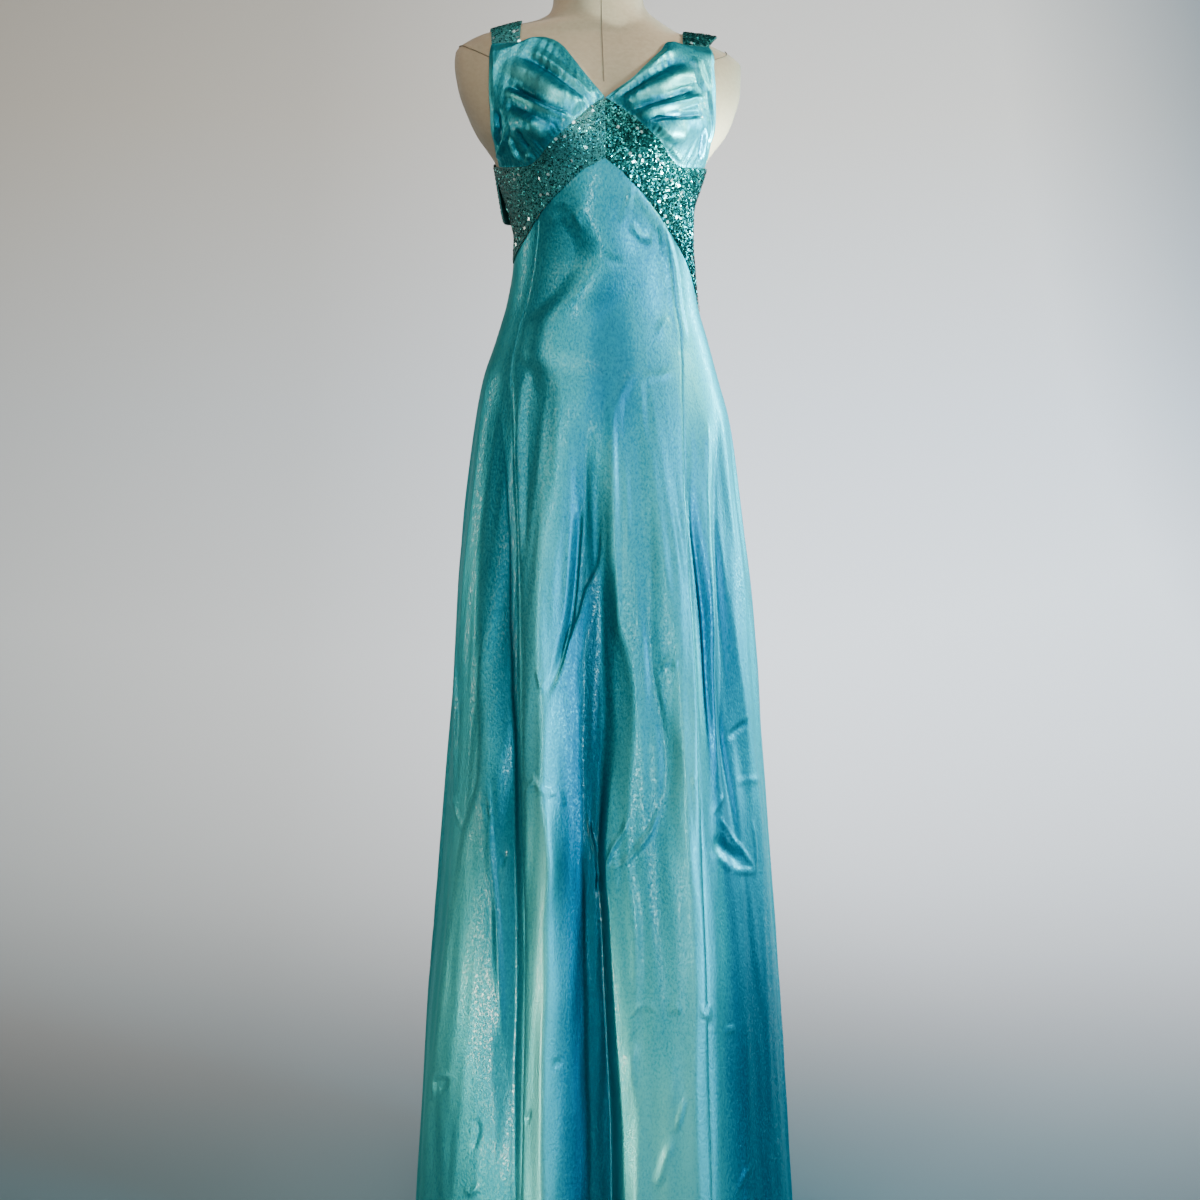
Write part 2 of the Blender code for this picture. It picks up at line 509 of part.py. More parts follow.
def make_midriff(name, side, low_at):
    """Half of the sequined band in front, from the centre-front seam to the side seam.

    Under the cup it has the cup's own columns, so the two edges have the same corners.
    """
    def layer(u, v, lift):
        front = across(front_at(CHEVRON_TOP_Z), 2.0 * SEAM_GAP)
        share = CUP_COLUMNS / (CUP_COLUMNS + UNDERARM_COLUMNS)
        angle = np.where(u < share + 0.001,
                         front + (ARMHOLE_FOOT - front) * u / share,
                         ARMHOLE_FOOT + (SIDE_SEAM - SEAM_TURN - ARMHOLE_FOOT)
                         * (u - share) / (1.0 - share))
        low = low_at(angle) + 0.5 * STEEP_GAP
        high = chevron_top_at(angle) - 0.5 * STEEP_GAP
        return point_on(gown_radius, side * angle, low + (high - low) * v, lift)

    cloth(name, CUP_COLUMNS + UNDERARM_COLUMNS, 5, layer, SEQUINS)


def make_back_band(name, side, flare):
    """Half of the sequined band behind, from the side seam to the centre back."""
    def layer(u, v, lift):
        seam = across(back_at(BACK_TOP_Z))
        angle = SIDE_SEAM + (180.0 - seam - SIDE_SEAM) * u
        side_top = CHEVRON_TOP[-1].z
        top = side_top + (BACK_TOP_Z - side_top) * soft_step((angle - SIDE_SEAM) / 25.0)
        low = BACK_LOW_Z + 0.5 * SEAM_GAP
        z = low + (top - 0.5 * SEAM_GAP - low) * v
        stand = flare * soft_step(1.0 - v) * soft_step(1.6 - u / 0.35)
        return point_on(gown_radius, side * angle, z, lift + stand)

    cloth(name, 16, 4, layer, SEQUINS)


def make_strap(name, side, run, inner, outer):
    """A strap, swung over the shoulder from its cup to the back band.

    Its front edge runs between the angles `inner` and `outer`, as the top of the cup does.
    """
    def layer(u, v, lift):
        half_gap = 0.5 * SEAM_GAP
        front_angle = side * (inner + (outer - inner) * u)
        front_x = body_radius(front_angle, STRAP_SEAM_Z) * np.sin(np.radians(front_angle))
        offset = side * (u - 0.5) * STRAP_WIDTH
        shoulder_x = run.shoulder + offset
        back_x = run.back + offset
        front_y = depth_on(front_x, STRAP_SEAM_Z + half_gap, -1.0)
        back_y = depth_on(back_x, BACK_TOP_Z + half_gap, 1.0)
        start = np.arctan2(STRAP_SEAM_Z + half_gap - STRAP_CORE_Z, front_y)
        end = np.pi - np.arctan2(BACK_TOP_Z + half_gap - STRAP_CORE_Z, back_y)
        swing = start + (end - start) * v
        over = np.clip((swing - start) / (0.5 * np.pi - start), 0.0, 1.0)
        down = soft_step((swing - 0.5 * np.pi) / (end - 0.5 * np.pi))
        x = front_x + (shoulder_x - front_x) * soft_step(over) + (back_x - shoulder_x) * down
        near, far = 0.0 * x, 0.4 + 0.0 * x
        for _ in range(40):
            middle = 0.5 * (near + far)
            y = -middle * np.cos(swing)
            z = STRAP_CORE_Z + middle * np.sin(swing)
            inside = np.hypot(x, y) < body_radius(np.degrees(np.arctan2(x, -y)), z)
            near = np.where(inside, middle, near)
            far = np.where(inside, far, middle)
        y = -near * np.cos(swing)
        z = STRAP_CORE_Z + near * np.sin(swing)
        angle = np.degrees(np.arctan2(x, -y))
        stand = run.stand * u * soft_step(over) * (1.0 - down)
        return point_on(body_radius, angle, z, lift + STRAP_LIFT + stand)

    cloth(name, 3, 36, layer, SEQUINS)


# ------------------------------------------------------------------ skirt
def skirt_rows(v):
    """Share of a panel's height at the share v of its rows, which crowd towards the top."""
    return 1.0 - (1.0 - v) ** 1.3


def make_skirt_panel(name, columns, stations, top_at, rows=18):
    """A skirt panel between lines that run down it.

    `stations` are (share of the columns, line), where a line gives its angle at a height, and
    the first and last are the panel's seams.  `top_at` gives the top edge's height.
    """
    def layer(u, v, lift):
        shares = [share for share, _ in stations]
        tops = []
        for _, line in stations:
            height = 1.3
            for _ in range(30):
                height = top_at(line(height))
            tops.append(height)
        angle, top = 0.0 * u, 0.0 * u
        for k in range(len(stations) - 1):
            here = (u >= shares[k]) & (u <= shares[k + 1])
            t = (u - shares[k]) / (shares[k + 1] - shares[k])
            heights = [HEM_Z + (tops[j] - HEM_Z) * skirt_rows(v) for j in (k, k + 1)]
            start, end = stations[k][1](heights[0]), stations[k + 1][1](heights[1])
            start_top, end_top = stations[k][1](tops[k]), stations[k + 1][1](tops[k + 1])
            angle = np.where(here, start + (end - start) * t, angle)
            top = np.where(here, top_at(start_top + (end_top - start_top) * t), top)
        z = HEM_Z + (top - HEM_Z) * skirt_rows(v)
        return point_on(gown_radius, angle, z, lift)

    cloth(name, columns, rows, layer, SATIN)


def chevron_low_at(angle):
    left = chevron_low_left_at(-angle)
    right = chevron_low_right_at(angle)
    return np.where(angle < 0.0, left, right) - 0.5 * STEEP_GAP


def back_edge_at(angle):
    return BACK_LOW_Z - 0.5 * SEAM_GAP + 0.0 * angle


def beside(line, side, gap_side):
    """A seam's line moved half a gap to one side."""
    def moved(z):
        angle = side * line(z)
        return angle + gap_side * across(body_radius(angle, z))

    return moved


def straight(angle):
    return lambda z: angle + 0.0 * z


def make_folded_panel(name, first, last, folds, columns, top_at):
    """A skirt panel between two seams, with a column of its mesh along every fold.

    `columns` gives how many there are between each two lines.  Above the folds the columns
    spread out evenly.
    """
    share_at = np.cumsum([0, *columns]) / sum(columns)

    def along(fold, share):
        fold_at = from_table(sorted(fold), "z", "angle")

        def line(z):
            even = first(z) + (last(z) - first(z)) * share
            return fold_at(z) + (even - fold_at(z)) * soft_step((z - SPREAD_FROM_Z) / SPREAD_OVER)

        return line

    stations = [(0.0, first)]
    stations += [(share, along(fold, share)) for share, fold in zip(share_at[1:-1], folds)]
    stations.append((1.0, last))
    make_skirt_panel(name, sum(columns), stations, top_at)


def make_skirt():
    left_of_left = beside(seam_left_at, -1.0, -1.0)
    right_of_left = beside(seam_left_at, -1.0, 1.0)
    left_of_right = beside(seam_right_at, 1.0, -1.0)
    right_of_right = beside(seam_right_at, 1.0, 1.0)
    side = straight(SIDE_SEAM)
    make_folded_panel("skirt_front", right_of_left, left_of_right, FRONT_FOLDS,
                      [1, 4, 4, 2, 3, 2, 3, 4, 4, 3], chevron_low_at)
    make_folded_panel("skirt_side_left", straight(-SIDE_SEAM + SEAM_TURN), left_of_left,
                      SIDE_FOLDS_LEFT, [5, 5, 3], chevron_low_at)
    make_folded_panel("skirt_side_right", right_of_right, straight(SIDE_SEAM - SEAM_TURN),
                      SIDE_FOLDS_RIGHT, [2, 3, 4, 6], chevron_low_at)
    make_folded_panel("skirt_back_left", straight(-180.0 + across(0.1)),
                      beside(side, -1.0, -1.0), BACK_FOLDS_LEFT, [1, 4, 4, 4, 4, 4],
                      back_edge_at)
    make_folded_panel("skirt_back_right", beside(side, 1.0, 1.0),
                      straight(180.0 - across(0.1)), BACK_FOLDS_RIGHT, [3, 4, 4, 4, 3, 2],
                      back_edge_at)


# ------------------------------------------------------------------ dress form
def form_levels(count):
    """Heights up the torso, spaced evenly along its side outline."""
    fine = np.linspace(FORM_FOOT_Z, FORM_TOP_Z, 2000)
    outline = np.hypot(np.diff(left_at(fine)), np.diff(fine))
    travelled = np.concatenate([[0.0], np.cumsum(outline)])
    return np.interp(np.linspace(0.0, travelled[-1], count), travelled, fine)


def make_torso():
    """The torso and neck: a sphere whose rings are laid on the form's own outline."""
    segments, rings = 40, 50
    edge_shrink = 0.93          # the rounded rims of the flat top and the flat foot
    edge_drop = 0.004
    levels = form_levels(rings - 3)
    levels[0] += edge_drop
    levels[-1] -= edge_drop
    heights = np.concatenate([[FORM_FOOT_Z, FORM_FOOT_Z], levels, [FORM_TOP_Z, FORM_TOP_Z]])
    shrink = np.ones(len(heights))
    shrink[[0, -1]] = 0.0
    shrink[[1, -2]] = edge_shrink
    bm = bmesh.new()
    bmesh.ops.create_uvsphere(bm, u_segments=segments, v_segments=rings, radius=1.0)
    for vert in bm.verts:
        step = np.arccos(np.clip(-vert.co.z, -1.0, 1.0)) / np.pi * rings
        ring = int(round(step))
        angle = np.degrees(np.arctan2(vert.co.x, -vert.co.y)) if 0 < ring < rings else 0.0
        z = np.array(heights[ring])
        place = point_on(form_radius, np.array(angle), z, -ease_at(z))
        vert.co = (place[0] * shrink[ring], place[1] * shrink[ring],
                   z if ring in (0, 1, rings - 1, rings) else place[2])
    add_object("form_torso", closed_mesh("form_torso", bm), LINEN)


def make_turned(name, profile, finish, steps=40):
    """A turned piece: a profile of (radius, height) from the axis and back, spun about Z."""
    bm = bmesh.new()
    verts = [bm.verts.new((r, 0.0, z)) for r, z in profile]
    for start, end in zip(verts, verts[1:]):
        bm.edges.new((start, end))
    mesh = bpy.data.meshes.new(name)
    bm.to_mesh(mesh)
    bm.free()
    piece = add_object(name, mesh, finish)
    screw = piece.modifiers.new("Turn", "SCREW")
    screw.axis = "Z"
    screw.steps = steps
    screw.render_steps = steps
    screw.use_merge_vertices = True
    screw.merge_threshold = 0.00001
    return piece


def make_stand():
    """The round foot, the socket that stands on it and the pole that the socket holds."""
    make_turned("form_base", [
        (0.0, FOOT_THICKNESS), (FOOT_RADIUS - RIM, FOOT_THICKNESS),
        (FOOT_RADIUS, FOOT_THICKNESS - RIM), (FOOT_RADIUS, 0.0), (0.0, 0.0)], STEEL)
    socket_foot = FOOT_THICKNESS + FACE_GAP
    make_turned("form_socket", [
        (0.0, SOCKET_TOP_Z), (SOCKET_RADIUS - RIM, SOCKET_TOP_Z),
        (SOCKET_RADIUS, SOCKET_TOP_Z - RIM), (SOCKET_RADIUS, socket_foot),
        (0.0, socket_foot)], STEEL)
    foot = SOCKET_TOP_Z + FACE_GAP
    top = FORM_FOOT_Z - FACE_GAP
    bpy.ops.mesh.primitive_cylinder_add(vertices=32, radius=POLE_RADIUS, depth=top - foot,
                                        location=(0.0, 0.0, 0.5 * (top + foot)))
    pole = bpy.context.object
    mesh = pole.data
    mesh.transform(pole.matrix_world)
    bpy.data.objects.remove(pole)
    mesh.name = "form_pole"
    add_object("form_pole", mesh, STEEL)


# ------------------------------------------------------------------ the object
for old in list(bpy.data.objects):
    bpy.data.objects.remove(old, do_unlink=True)
gown = bpy.data.collections.new("evening_gown_on_dress_form")
bpy.context.scene.collection.children.link(gown)

make_torso()
make_stand()
make_cup("bodice_cup_left", -1.0, NECKLINE_LEFT, ARMHOLE_LEFT)
make_cup("bodice_cup_right", 1.0, NECKLINE_RIGHT, ARMHOLE_RIGHT)
make_midriff("midriff_front_left", -1.0, chevron_low_left_at)
make_midriff("midriff_front_right", 1.0, chevron_low_right_at)
make_back_band("back_band_left", -1.0, BAND_FLARE)
make_back_band("back_band_right", 1.0, 0.0)
make_strap("strap_left", -1.0, STRAP_RUNS["left"],
           NECKLINE_LEFT[-1].angle, ARMHOLE_LEFT[-1].angle)
make_strap("strap_right", 1.0, STRAP_RUNS["right"],
           NECKLINE_RIGHT[-1].angle, ARMHOLE_RIGHT[-1].angle)
make_skirt()
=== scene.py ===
import math

import bpy
import numpy as np
from mathutils import Euler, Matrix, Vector


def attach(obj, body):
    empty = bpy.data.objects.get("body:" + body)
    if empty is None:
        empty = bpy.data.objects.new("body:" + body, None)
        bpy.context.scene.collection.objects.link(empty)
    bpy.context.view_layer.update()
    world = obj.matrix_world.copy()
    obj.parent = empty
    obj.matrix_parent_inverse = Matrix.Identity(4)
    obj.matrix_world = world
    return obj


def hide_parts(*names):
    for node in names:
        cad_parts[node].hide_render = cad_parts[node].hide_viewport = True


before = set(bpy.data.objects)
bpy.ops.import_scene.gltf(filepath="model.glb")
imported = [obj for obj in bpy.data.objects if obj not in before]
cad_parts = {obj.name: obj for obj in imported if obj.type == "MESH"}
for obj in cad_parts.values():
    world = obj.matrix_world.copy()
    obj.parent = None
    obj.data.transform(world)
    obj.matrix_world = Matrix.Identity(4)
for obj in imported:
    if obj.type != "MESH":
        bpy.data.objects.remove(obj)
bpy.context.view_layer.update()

# the camera stands a little to the left and looks slightly down; its frame is frameSize pixels wide and high,
# and the gown's axis lies at axisPixelX in it
camera = dict(distance=3.2, azimuth=-5.0, height=1.15, tilt=-5.1, lens=74.0, sensor=36.0,
              frameSize=1200, axisPixelX=598.0)
# how far from the camera a ray is searched for a surface, and the surface's top
search = dict(start=2.6, end=3.6, steps=4001, top=1.66)


def addObject(name, data):
    piece = bpy.data.objects.new(name, data)
    bpy.context.scene.collection.objects.link(piece)
    return piece


def cameraPlace():
    turn = math.radians(camera["azimuth"])
    return Vector((math.sin(turn) * camera["distance"], -math.cos(turn) * camera["distance"],
                   camera["height"]))


def cameraTurn():
    return Euler((math.radians(90.0 + camera["tilt"]), 0.0, math.radians(camera["azimuth"])))


def makeCamera():
    lens = bpy.data.cameras.new("camera")
    lens.lens = camera["lens"]
    lens.sensor_width = camera["sensor"]
    lens.shift_x = (camera["frameSize"] / 2 - camera["axisPixelX"]) / camera["frameSize"]
    viewer = addObject("camera", lens)
    viewer.location = cameraPlace()
    viewer.rotation_euler = cameraTurn()
    bpy.context.scene.camera = viewer


makeCamera()
print("camera placed")

# the gown's own sizes, in metres and in degrees from the centre front (+ to the right)
gown = dict(wall=0.0012, seamGap=0.0003, steepGap=0.0006, seamTurn=0.15, hemZ=0.012,
            strapSeamZ=1.569, backTopZ=1.430, backLowZ=1.352, chevronTopZ=1.499, armholeFoot=77.0,
            sideSeam=88.0, roundness=2.2)
form = dict(footZ=1.000, topZ=1.665, bustDepth=0.028)
bust = dict(angle=33.0, z=1.468, depth=0.034, spread=17.0, above=0.052, below=0.034)

# height, then half sizes to the left, right, front and back
rings = [
    (0.012, 0.2415, 0.2575, 0.2250, 0.2400), (0.199, 0.2290, 0.2450, 0.2120, 0.2240),
    (0.334, 0.2210, 0.2370, 0.2010, 0.2110), (0.468, 0.2090, 0.2280, 0.1880, 0.1970),
    (0.680, 0.1940, 0.2150, 0.1660, 0.1750), (0.891, 0.1800, 0.1970, 0.1380, 0.1470),
    (0.995, 0.1700, 0.1840, 0.1230, 0.1320), (1.098, 0.1580, 0.1700, 0.1100, 0.1130),
    (1.150, 0.1490, 0.1560, 0.1030, 0.0980), (1.201, 0.1320, 0.1420, 0.0945, 0.0870),
    (1.252, 0.1170, 0.1280, 0.0895, 0.0830), (1.293, 0.1100, 0.1240, 0.0900, 0.0860),
    (1.329, 0.1080, 0.1215, 0.0935, 0.0920), (1.361, 0.1150, 0.1220, 0.0975, 0.0980),
    (1.400, 0.1275, 0.1330, 0.1035, 0.1045), (1.424, 0.1345, 0.1415, 0.1060, 0.1080),
    (1.440, 0.1450, 0.1520, 0.1065, 0.1095), (1.456, 0.1565, 0.1650, 0.1065, 0.1110),
    (1.481, 0.1690, 0.1770, 0.1020, 0.1115), (1.519, 0.1820, 0.1860, 0.0895, 0.1085),
    (1.549, 0.1855, 0.1860, 0.0775, 0.1010), (1.564, 0.1840, 0.1720, 0.0708, 0.0962),
    (1.572, 0.1790, 0.1560, 0.0670, 0.0930), (1.580, 0.1670, 0.1380, 0.0634, 0.0890),
    (1.587, 0.1530, 0.1190, 0.0608, 0.0850), (1.592, 0.1370, 0.1040, 0.0600, 0.0815),
    (1.598, 0.1160, 0.0930, 0.0590, 0.0770), (1.607, 0.0790, 0.0790, 0.0570, 0.0700),
    (1.617, 0.0630, 0.0660, 0.0555, 0.0640), (1.628, 0.0595, 0.0600, 0.0545, 0.0600),
    (1.665, 0.0580, 0.0580, 0.0530, 0.0570),
]
# how deep the form lies inside the cloth: height, depth
ease = [(1.000, 0.0170), (1.050, 0.0100), (1.100, 0.0055), (1.150, 0.0034), (1.200, 0.0026),
        (1.250, 0.0026), (1.400, 0.0032), (1.500, 0.0034), (1.560, 0.0023), (1.665, 0.0022)]
# edges round the gown: angle, height
edges = dict(
    chevronTop=[(0.0, 1.499), (9.5, 1.488), (17.5, 1.471), (24.0, 1.455), (33.0, 1.438),
                (44.0, 1.421), (52.0, 1.415), (88.0, 1.420)],
    chevronLowLeft=[(0.0, 1.424), (15.0, 1.410), (27.0, 1.391), (39.0, 1.372), (50.0, 1.353),
                    (63.0, 1.331), (77.0, 1.312), (88.0, 1.298)],
    chevronLowRight=[(0.0, 1.424), (9.0, 1.412), (19.0, 1.395), (31.0, 1.375), (42.0, 1.353),
                     (55.0, 1.327), (66.0, 1.303), (88.0, 1.235)],
    necklineLeft=[(0.0, 1.499), (13.5, 1.525), (25.7, 1.548), (36.4, 1.565), (44.8, 1.573),
                  (52.0, 1.576), (60.2, 1.569)],
    necklineRight=[(0.0, 1.499), (9.7, 1.510), (18.5, 1.520), (30.5, 1.538), (46.5, 1.560),
                   (55.5, 1.5725), (61.5, 1.569)],
)
# lines that run up and down: height, angle
lines = dict(
    armholeLeft=[(1.417, 77.0), (1.450, 68.0), (1.487, 65.3), (1.524, 66.8), (1.569, 70.8)],
    armholeRight=[(1.417, 77.0), (1.451, 66.2), (1.488, 64.8), (1.526, 67.0), (1.550, 69.3),
                  (1.569, 74.0)],
    seamLeft=[(0.012, 31.5), (0.400, 34.0), (0.700, 39.5), (0.925, 45.5), (1.090, 54.0),
              (1.200, 61.0), (1.290, 56.0), (1.360, 49.0)],
    seamRight=[(0.012, 28.5), (0.380, 30.5), (0.700, 35.0), (0.925, 39.5), (1.125, 47.5),
               (1.213, 54.0), (1.276, 52.0), (1.360, 42.0)],
)
straps = dict(
    left=dict(side=-1.0, shoulder=-0.1170, back=-0.0920, stand=0.0, inner=60.2, outer=70.8),
    right=dict(side=1.0, shoulder=0.1280, back=0.0960, stand=0.012, inner=61.5, outer=74.0),
    width=0.040, lift=0.0004, coreZ=1.500,
)


def smoothCurve(knots, values):
    # a curve through a table's values that never swings past them
    knots = np.array(knots, dtype=float)
    values = np.array(values, dtype=float)
    step = np.diff(knots)
    slope = np.diff(values) / step
    tangent = np.empty_like(values)
    tangent[0], tangent[-1] = slope[0], slope[-1]
    steady = slope[:-1] * slope[1:] > 0.0
    before = np.where(steady, slope[:-1], 1.0)
    after = np.where(steady, slope[1:], 1.0)
    weightBefore = 2.0 * step[1:] + step[:-1]
    weightAfter = step[1:] + 2.0 * step[:-1]
    mean = (weightBefore + weightAfter) / (weightBefore / before + weightAfter / after)
    tangent[1:-1] = np.where(steady, mean, 0.0)

    def curve(x):
        x = np.asarray(x, dtype=float)
        k = np.clip(np.searchsorted(knots, x) - 1, 0, len(step) - 1)
        t = np.clip((x - knots[k]) / step[k], 0.0, 1.0)
        rise = t * t * (3.0 - 2.0 * t)
        return (values[k] * (1.0 - rise) + values[k + 1] * rise
                + step[k] * t * (1.0 - t) * (tangent[k] * (1.0 - t) - tangent[k + 1] * t))

    return curve


def tableCurve(rows, value=1, key=0):
    return smoothCurve([row[key] for row in rows], [row[value] for row in rows])


def softStep(t):
    t = np.clip(t, 0.0, 1.0)
    return t * t * (3.0 - 2.0 * t)


leftAt, rightAt, frontAt, backAt = (tableCurve(rings, k) for k in (1, 2, 3, 4))
easeAt = tableCurve(ease)
edgeAt = {name: tableCurve(rows) for name, rows in edges.items()}
lineAt = {name: tableCurve(rows) for name, rows in lines.items()}


# the gown's smooth surface, as a distance from its axis
def bodyRadius(angle, z, bustDepth=bust["depth"]):
    turn = np.radians(angle)
    side = np.where(np.sin(turn) < 0.0, leftAt(z), rightAt(z))
    depth = np.where(np.cos(turn) > 0.0, frontAt(z), backAt(z))
    power = gown["roundness"]
    ring = (np.abs(np.sin(turn) / side) ** power + np.abs(np.cos(turn) / depth) ** power) ** (-1.0 / power)
    spreadZ = np.where(z > bust["z"], bust["above"], bust["below"])
    swell = np.exp(-((np.abs(angle) - bust["angle"]) / bust["spread"]) ** 2
                   - ((z - bust["z"]) / spreadZ) ** 2)
    return ring + bustDepth * swell


def formRadius(angle, z):
    return bodyRadius(angle, z, form["bustDepth"])


def turnBetween(angle, middle):
    return (angle - middle + 180.0) % 360.0 - 180.0


def pointOn(radius, angle, z, lift, turnStep=0.2, riseStep=0.0005):
    # points of a surface, moved out along its normal by lift
    turn = np.radians(angle)
    r = radius(angle, z)
    roundSlope = (radius(angle + turnStep, z) - radius(angle - turnStep, z)) / np.radians(2.0 * turnStep)
    riseSlope = (radius(angle, z + riseStep) - radius(angle, z - riseStep)) / (2.0 * riseStep)
    sin, cos = np.sin(turn), np.cos(turn)
    around = np.stack([roundSlope * sin + r * cos, r * sin - roundSlope * cos, 0.0 * r], axis=-1)
    upward = np.stack([riseSlope * sin, -riseSlope * cos, 1.0 + 0.0 * r], axis=-1)
    normal = np.cross(around, upward)
    normal /= np.linalg.norm(normal, axis=-1, keepdims=True)
    place = np.stack([r * sin, -r * cos, z + 0.0 * r], axis=-1)
    return place + normal * (np.zeros_like(r) + lift)[..., None]


def pixelRay(x, y):
    focal = camera["lens"] / camera["sensor"] * camera["frameSize"]
    middle = camera["frameSize"] / 2
    ray = Vector(((x - camera["axisPixelX"]) / focal, (middle - y) / focal, -1.0))
    ray.rotate(cameraTurn())
    return np.array(cameraPlace()), np.array(ray.normalized())


def surfaceAt(x, y, radius):
    # the angle and height at which the ray through a pixel of the camera's frame meets a surface
    start, ray = pixelRay(x, y)
    travel = np.linspace(search["start"], search["end"], search["steps"])
    points = start + travel[:, None] * ray
    angle = np.degrees(np.arctan2(points[:, 0], -points[:, 1]))
    gap = np.hypot(points[:, 0], points[:, 1]) - radius(angle, np.clip(points[:, 2], 0.0, search["top"]))
    inside = np.nonzero(gap < 0.0)[0]
    k = inside[0] if len(inside) else int(np.argmin(gap))
    return float(angle[k]), float(points[k, 2])


# the crest of a crease, in shares of its width, and how far past a line's ends it is worked out
crest = dict(rounding=0.04, steepness=1.7, past=0.012)


def creaseProfile(apart, left, right, sharp):
    # 1 on the line and 0 past its width, with a crest that is round or sharp
    t = apart / np.where(apart < 0.0, left, right)
    t = np.clip(np.sqrt(t * t + crest["rounding"] ** 2) - crest["rounding"], 0.0, 1.0)
    return sharp * (1.0 - t) ** crest["steepness"] + (1.0 - sharp) * (1.0 - t * t) ** 2


def tracedLines(rows, radius):
    # folds and long creases run from top to bottom: their angle and height out become curves of z
    for row in rows:
        spots = []
        for x, y, height in row["at"]:
            angle, z = surfaceAt(x, y, radius) if row["pixels"] else (x, y)
            spots.append((z, angle, height * 0.001))
        spots.sort()
        row.update(low=spots[0][0], high=spots[-1][0], angleAt=tableCurve(spots),
                   heightAt=tableCurve(spots, 2))
    return rows


def lineOffset(angle, z, traced):
    total = 0.0 * (angle + z)
    size = bodyRadius(angle, z)
    for line in traced:
        near = (z > line["low"] - crest["past"]) & (z < line["high"] + crest["past"])
        near &= np.abs(turnBetween(angle, line["angleAt"](z))) * np.radians(1.0) * size < max(
            line["left"], line["right"])
        if not near.any():
            continue
        apart = np.radians(turnBetween(angle[near], line["angleAt"](z[near]))) * size[near]
        shape = creaseProfile(apart, line["left"], line["right"], line["sharp"])
        total[near] += line["heightAt"](z[near]) * shape
    return total


def tracedStrokes(strokes, radius):
    # short creases go any way: a few points and one height, in metres round and up
    for row in strokes:
        row["spots"] = [surfaceAt(x, y, radius) if row["pixels"] else (x, y) for x, y in row["at"]]
    return strokes


# how a stroke fades at its ends, in shares of its length, and how many widths away it is still worked
# out, on a gown of about this radius
strokeEnds = dict(fade=0.3, start=0.15, reach=2.5, aboutRadius=0.1)


def strokeOffset(angle, z, traced):
    total = 0.0 * (angle + z)
    for row in traced:
        spots = np.array(row["spots"])
        width = row["width"]
        reach = np.degrees(strokeEnds["reach"] * width / strokeEnds["aboutRadius"])
        near = ((z > spots[:, 1].min() - 2 * width) & (z < spots[:, 1].max() + 2 * width)
                & (turnBetween(angle, spots[:, 0].min()) > -reach)
                & (turnBetween(angle, spots[:, 0].max()) < reach))
        if not near.any():
            continue
        a, h = angle[near], z[near]
        size = bodyRadius(a, h)
        best = np.full(a.shape, 1e9)
        travelled, length = 0.0 * a, 0.0
        for first, second in zip(spots[:-1], spots[1:]):
            runX = np.radians(turnBetween(second[0], first[0])) * size
            runZ = second[1] - first[1]
            long = np.hypot(runX, runZ)
            offX, offZ = np.radians(turnBetween(a, first[0])) * size, h - first[1]
            t = np.clip((offX * runX + offZ * runZ) / long ** 2, 0.0, 1.0)
            apart = np.hypot(offX - t * runX, offZ - t * runZ)
            closer = apart < best
            best = np.where(closer, apart, best)
            travelled = np.where(closer, length + t * long.mean(), travelled)
            length += long.mean()
        along = travelled / length
        fade = (softStep(along / strokeEnds["fade"] + strokeEnds["start"])
                * softStep((1.0 - along) / strokeEnds["fade"] + strokeEnds["start"]))
        total[near] += row["height"] * fade * creaseProfile(best, width, width, row["sharp"])
    return total


# how many waves are added up, their sizes as shares of the given one, and the gown's usual radius
waves = dict(count=22, sizes=(0.6, 1.6), radius=0.17)


def waver(angle, z, seed, height, across, along):
    # the cloth's slow unevenness: a sum of waves that run mostly up and down
    rng = np.random.default_rng(seed)
    total = 0.0 * (angle + z)
    turn = np.radians(angle)
    for _ in range(waves["count"]):
        turns = int(rng.uniform(*waves["sizes"]) * 2.0 * math.pi * waves["radius"] / across)
        rise = rng.uniform(-1.0, 1.0) * 2.0 * math.pi / along
        total = total + np.sin(turns * turn + rise * z + rng.uniform(0.0, 2.0 * math.pi))
    return total * height / math.sqrt(0.5 * waves["count"])


def fold(soft, *at, pixels=True):
    # soft, the reach in mm over which a fold is rounded
    return dict(at=at, soft=soft * 0.001, pixels=pixels)


def crease(left, right, sharp, *at):
    # left and right, its width in mm to either side
    return dict(at=at, left=left * 0.001, right=right * 0.001, sharp=sharp, pixels=True)


def stroke(height, width, *at, sharp=0.4):
    return dict(at=at, height=height * 0.001, width=width * 0.001, sharp=sharp, pixels=True)


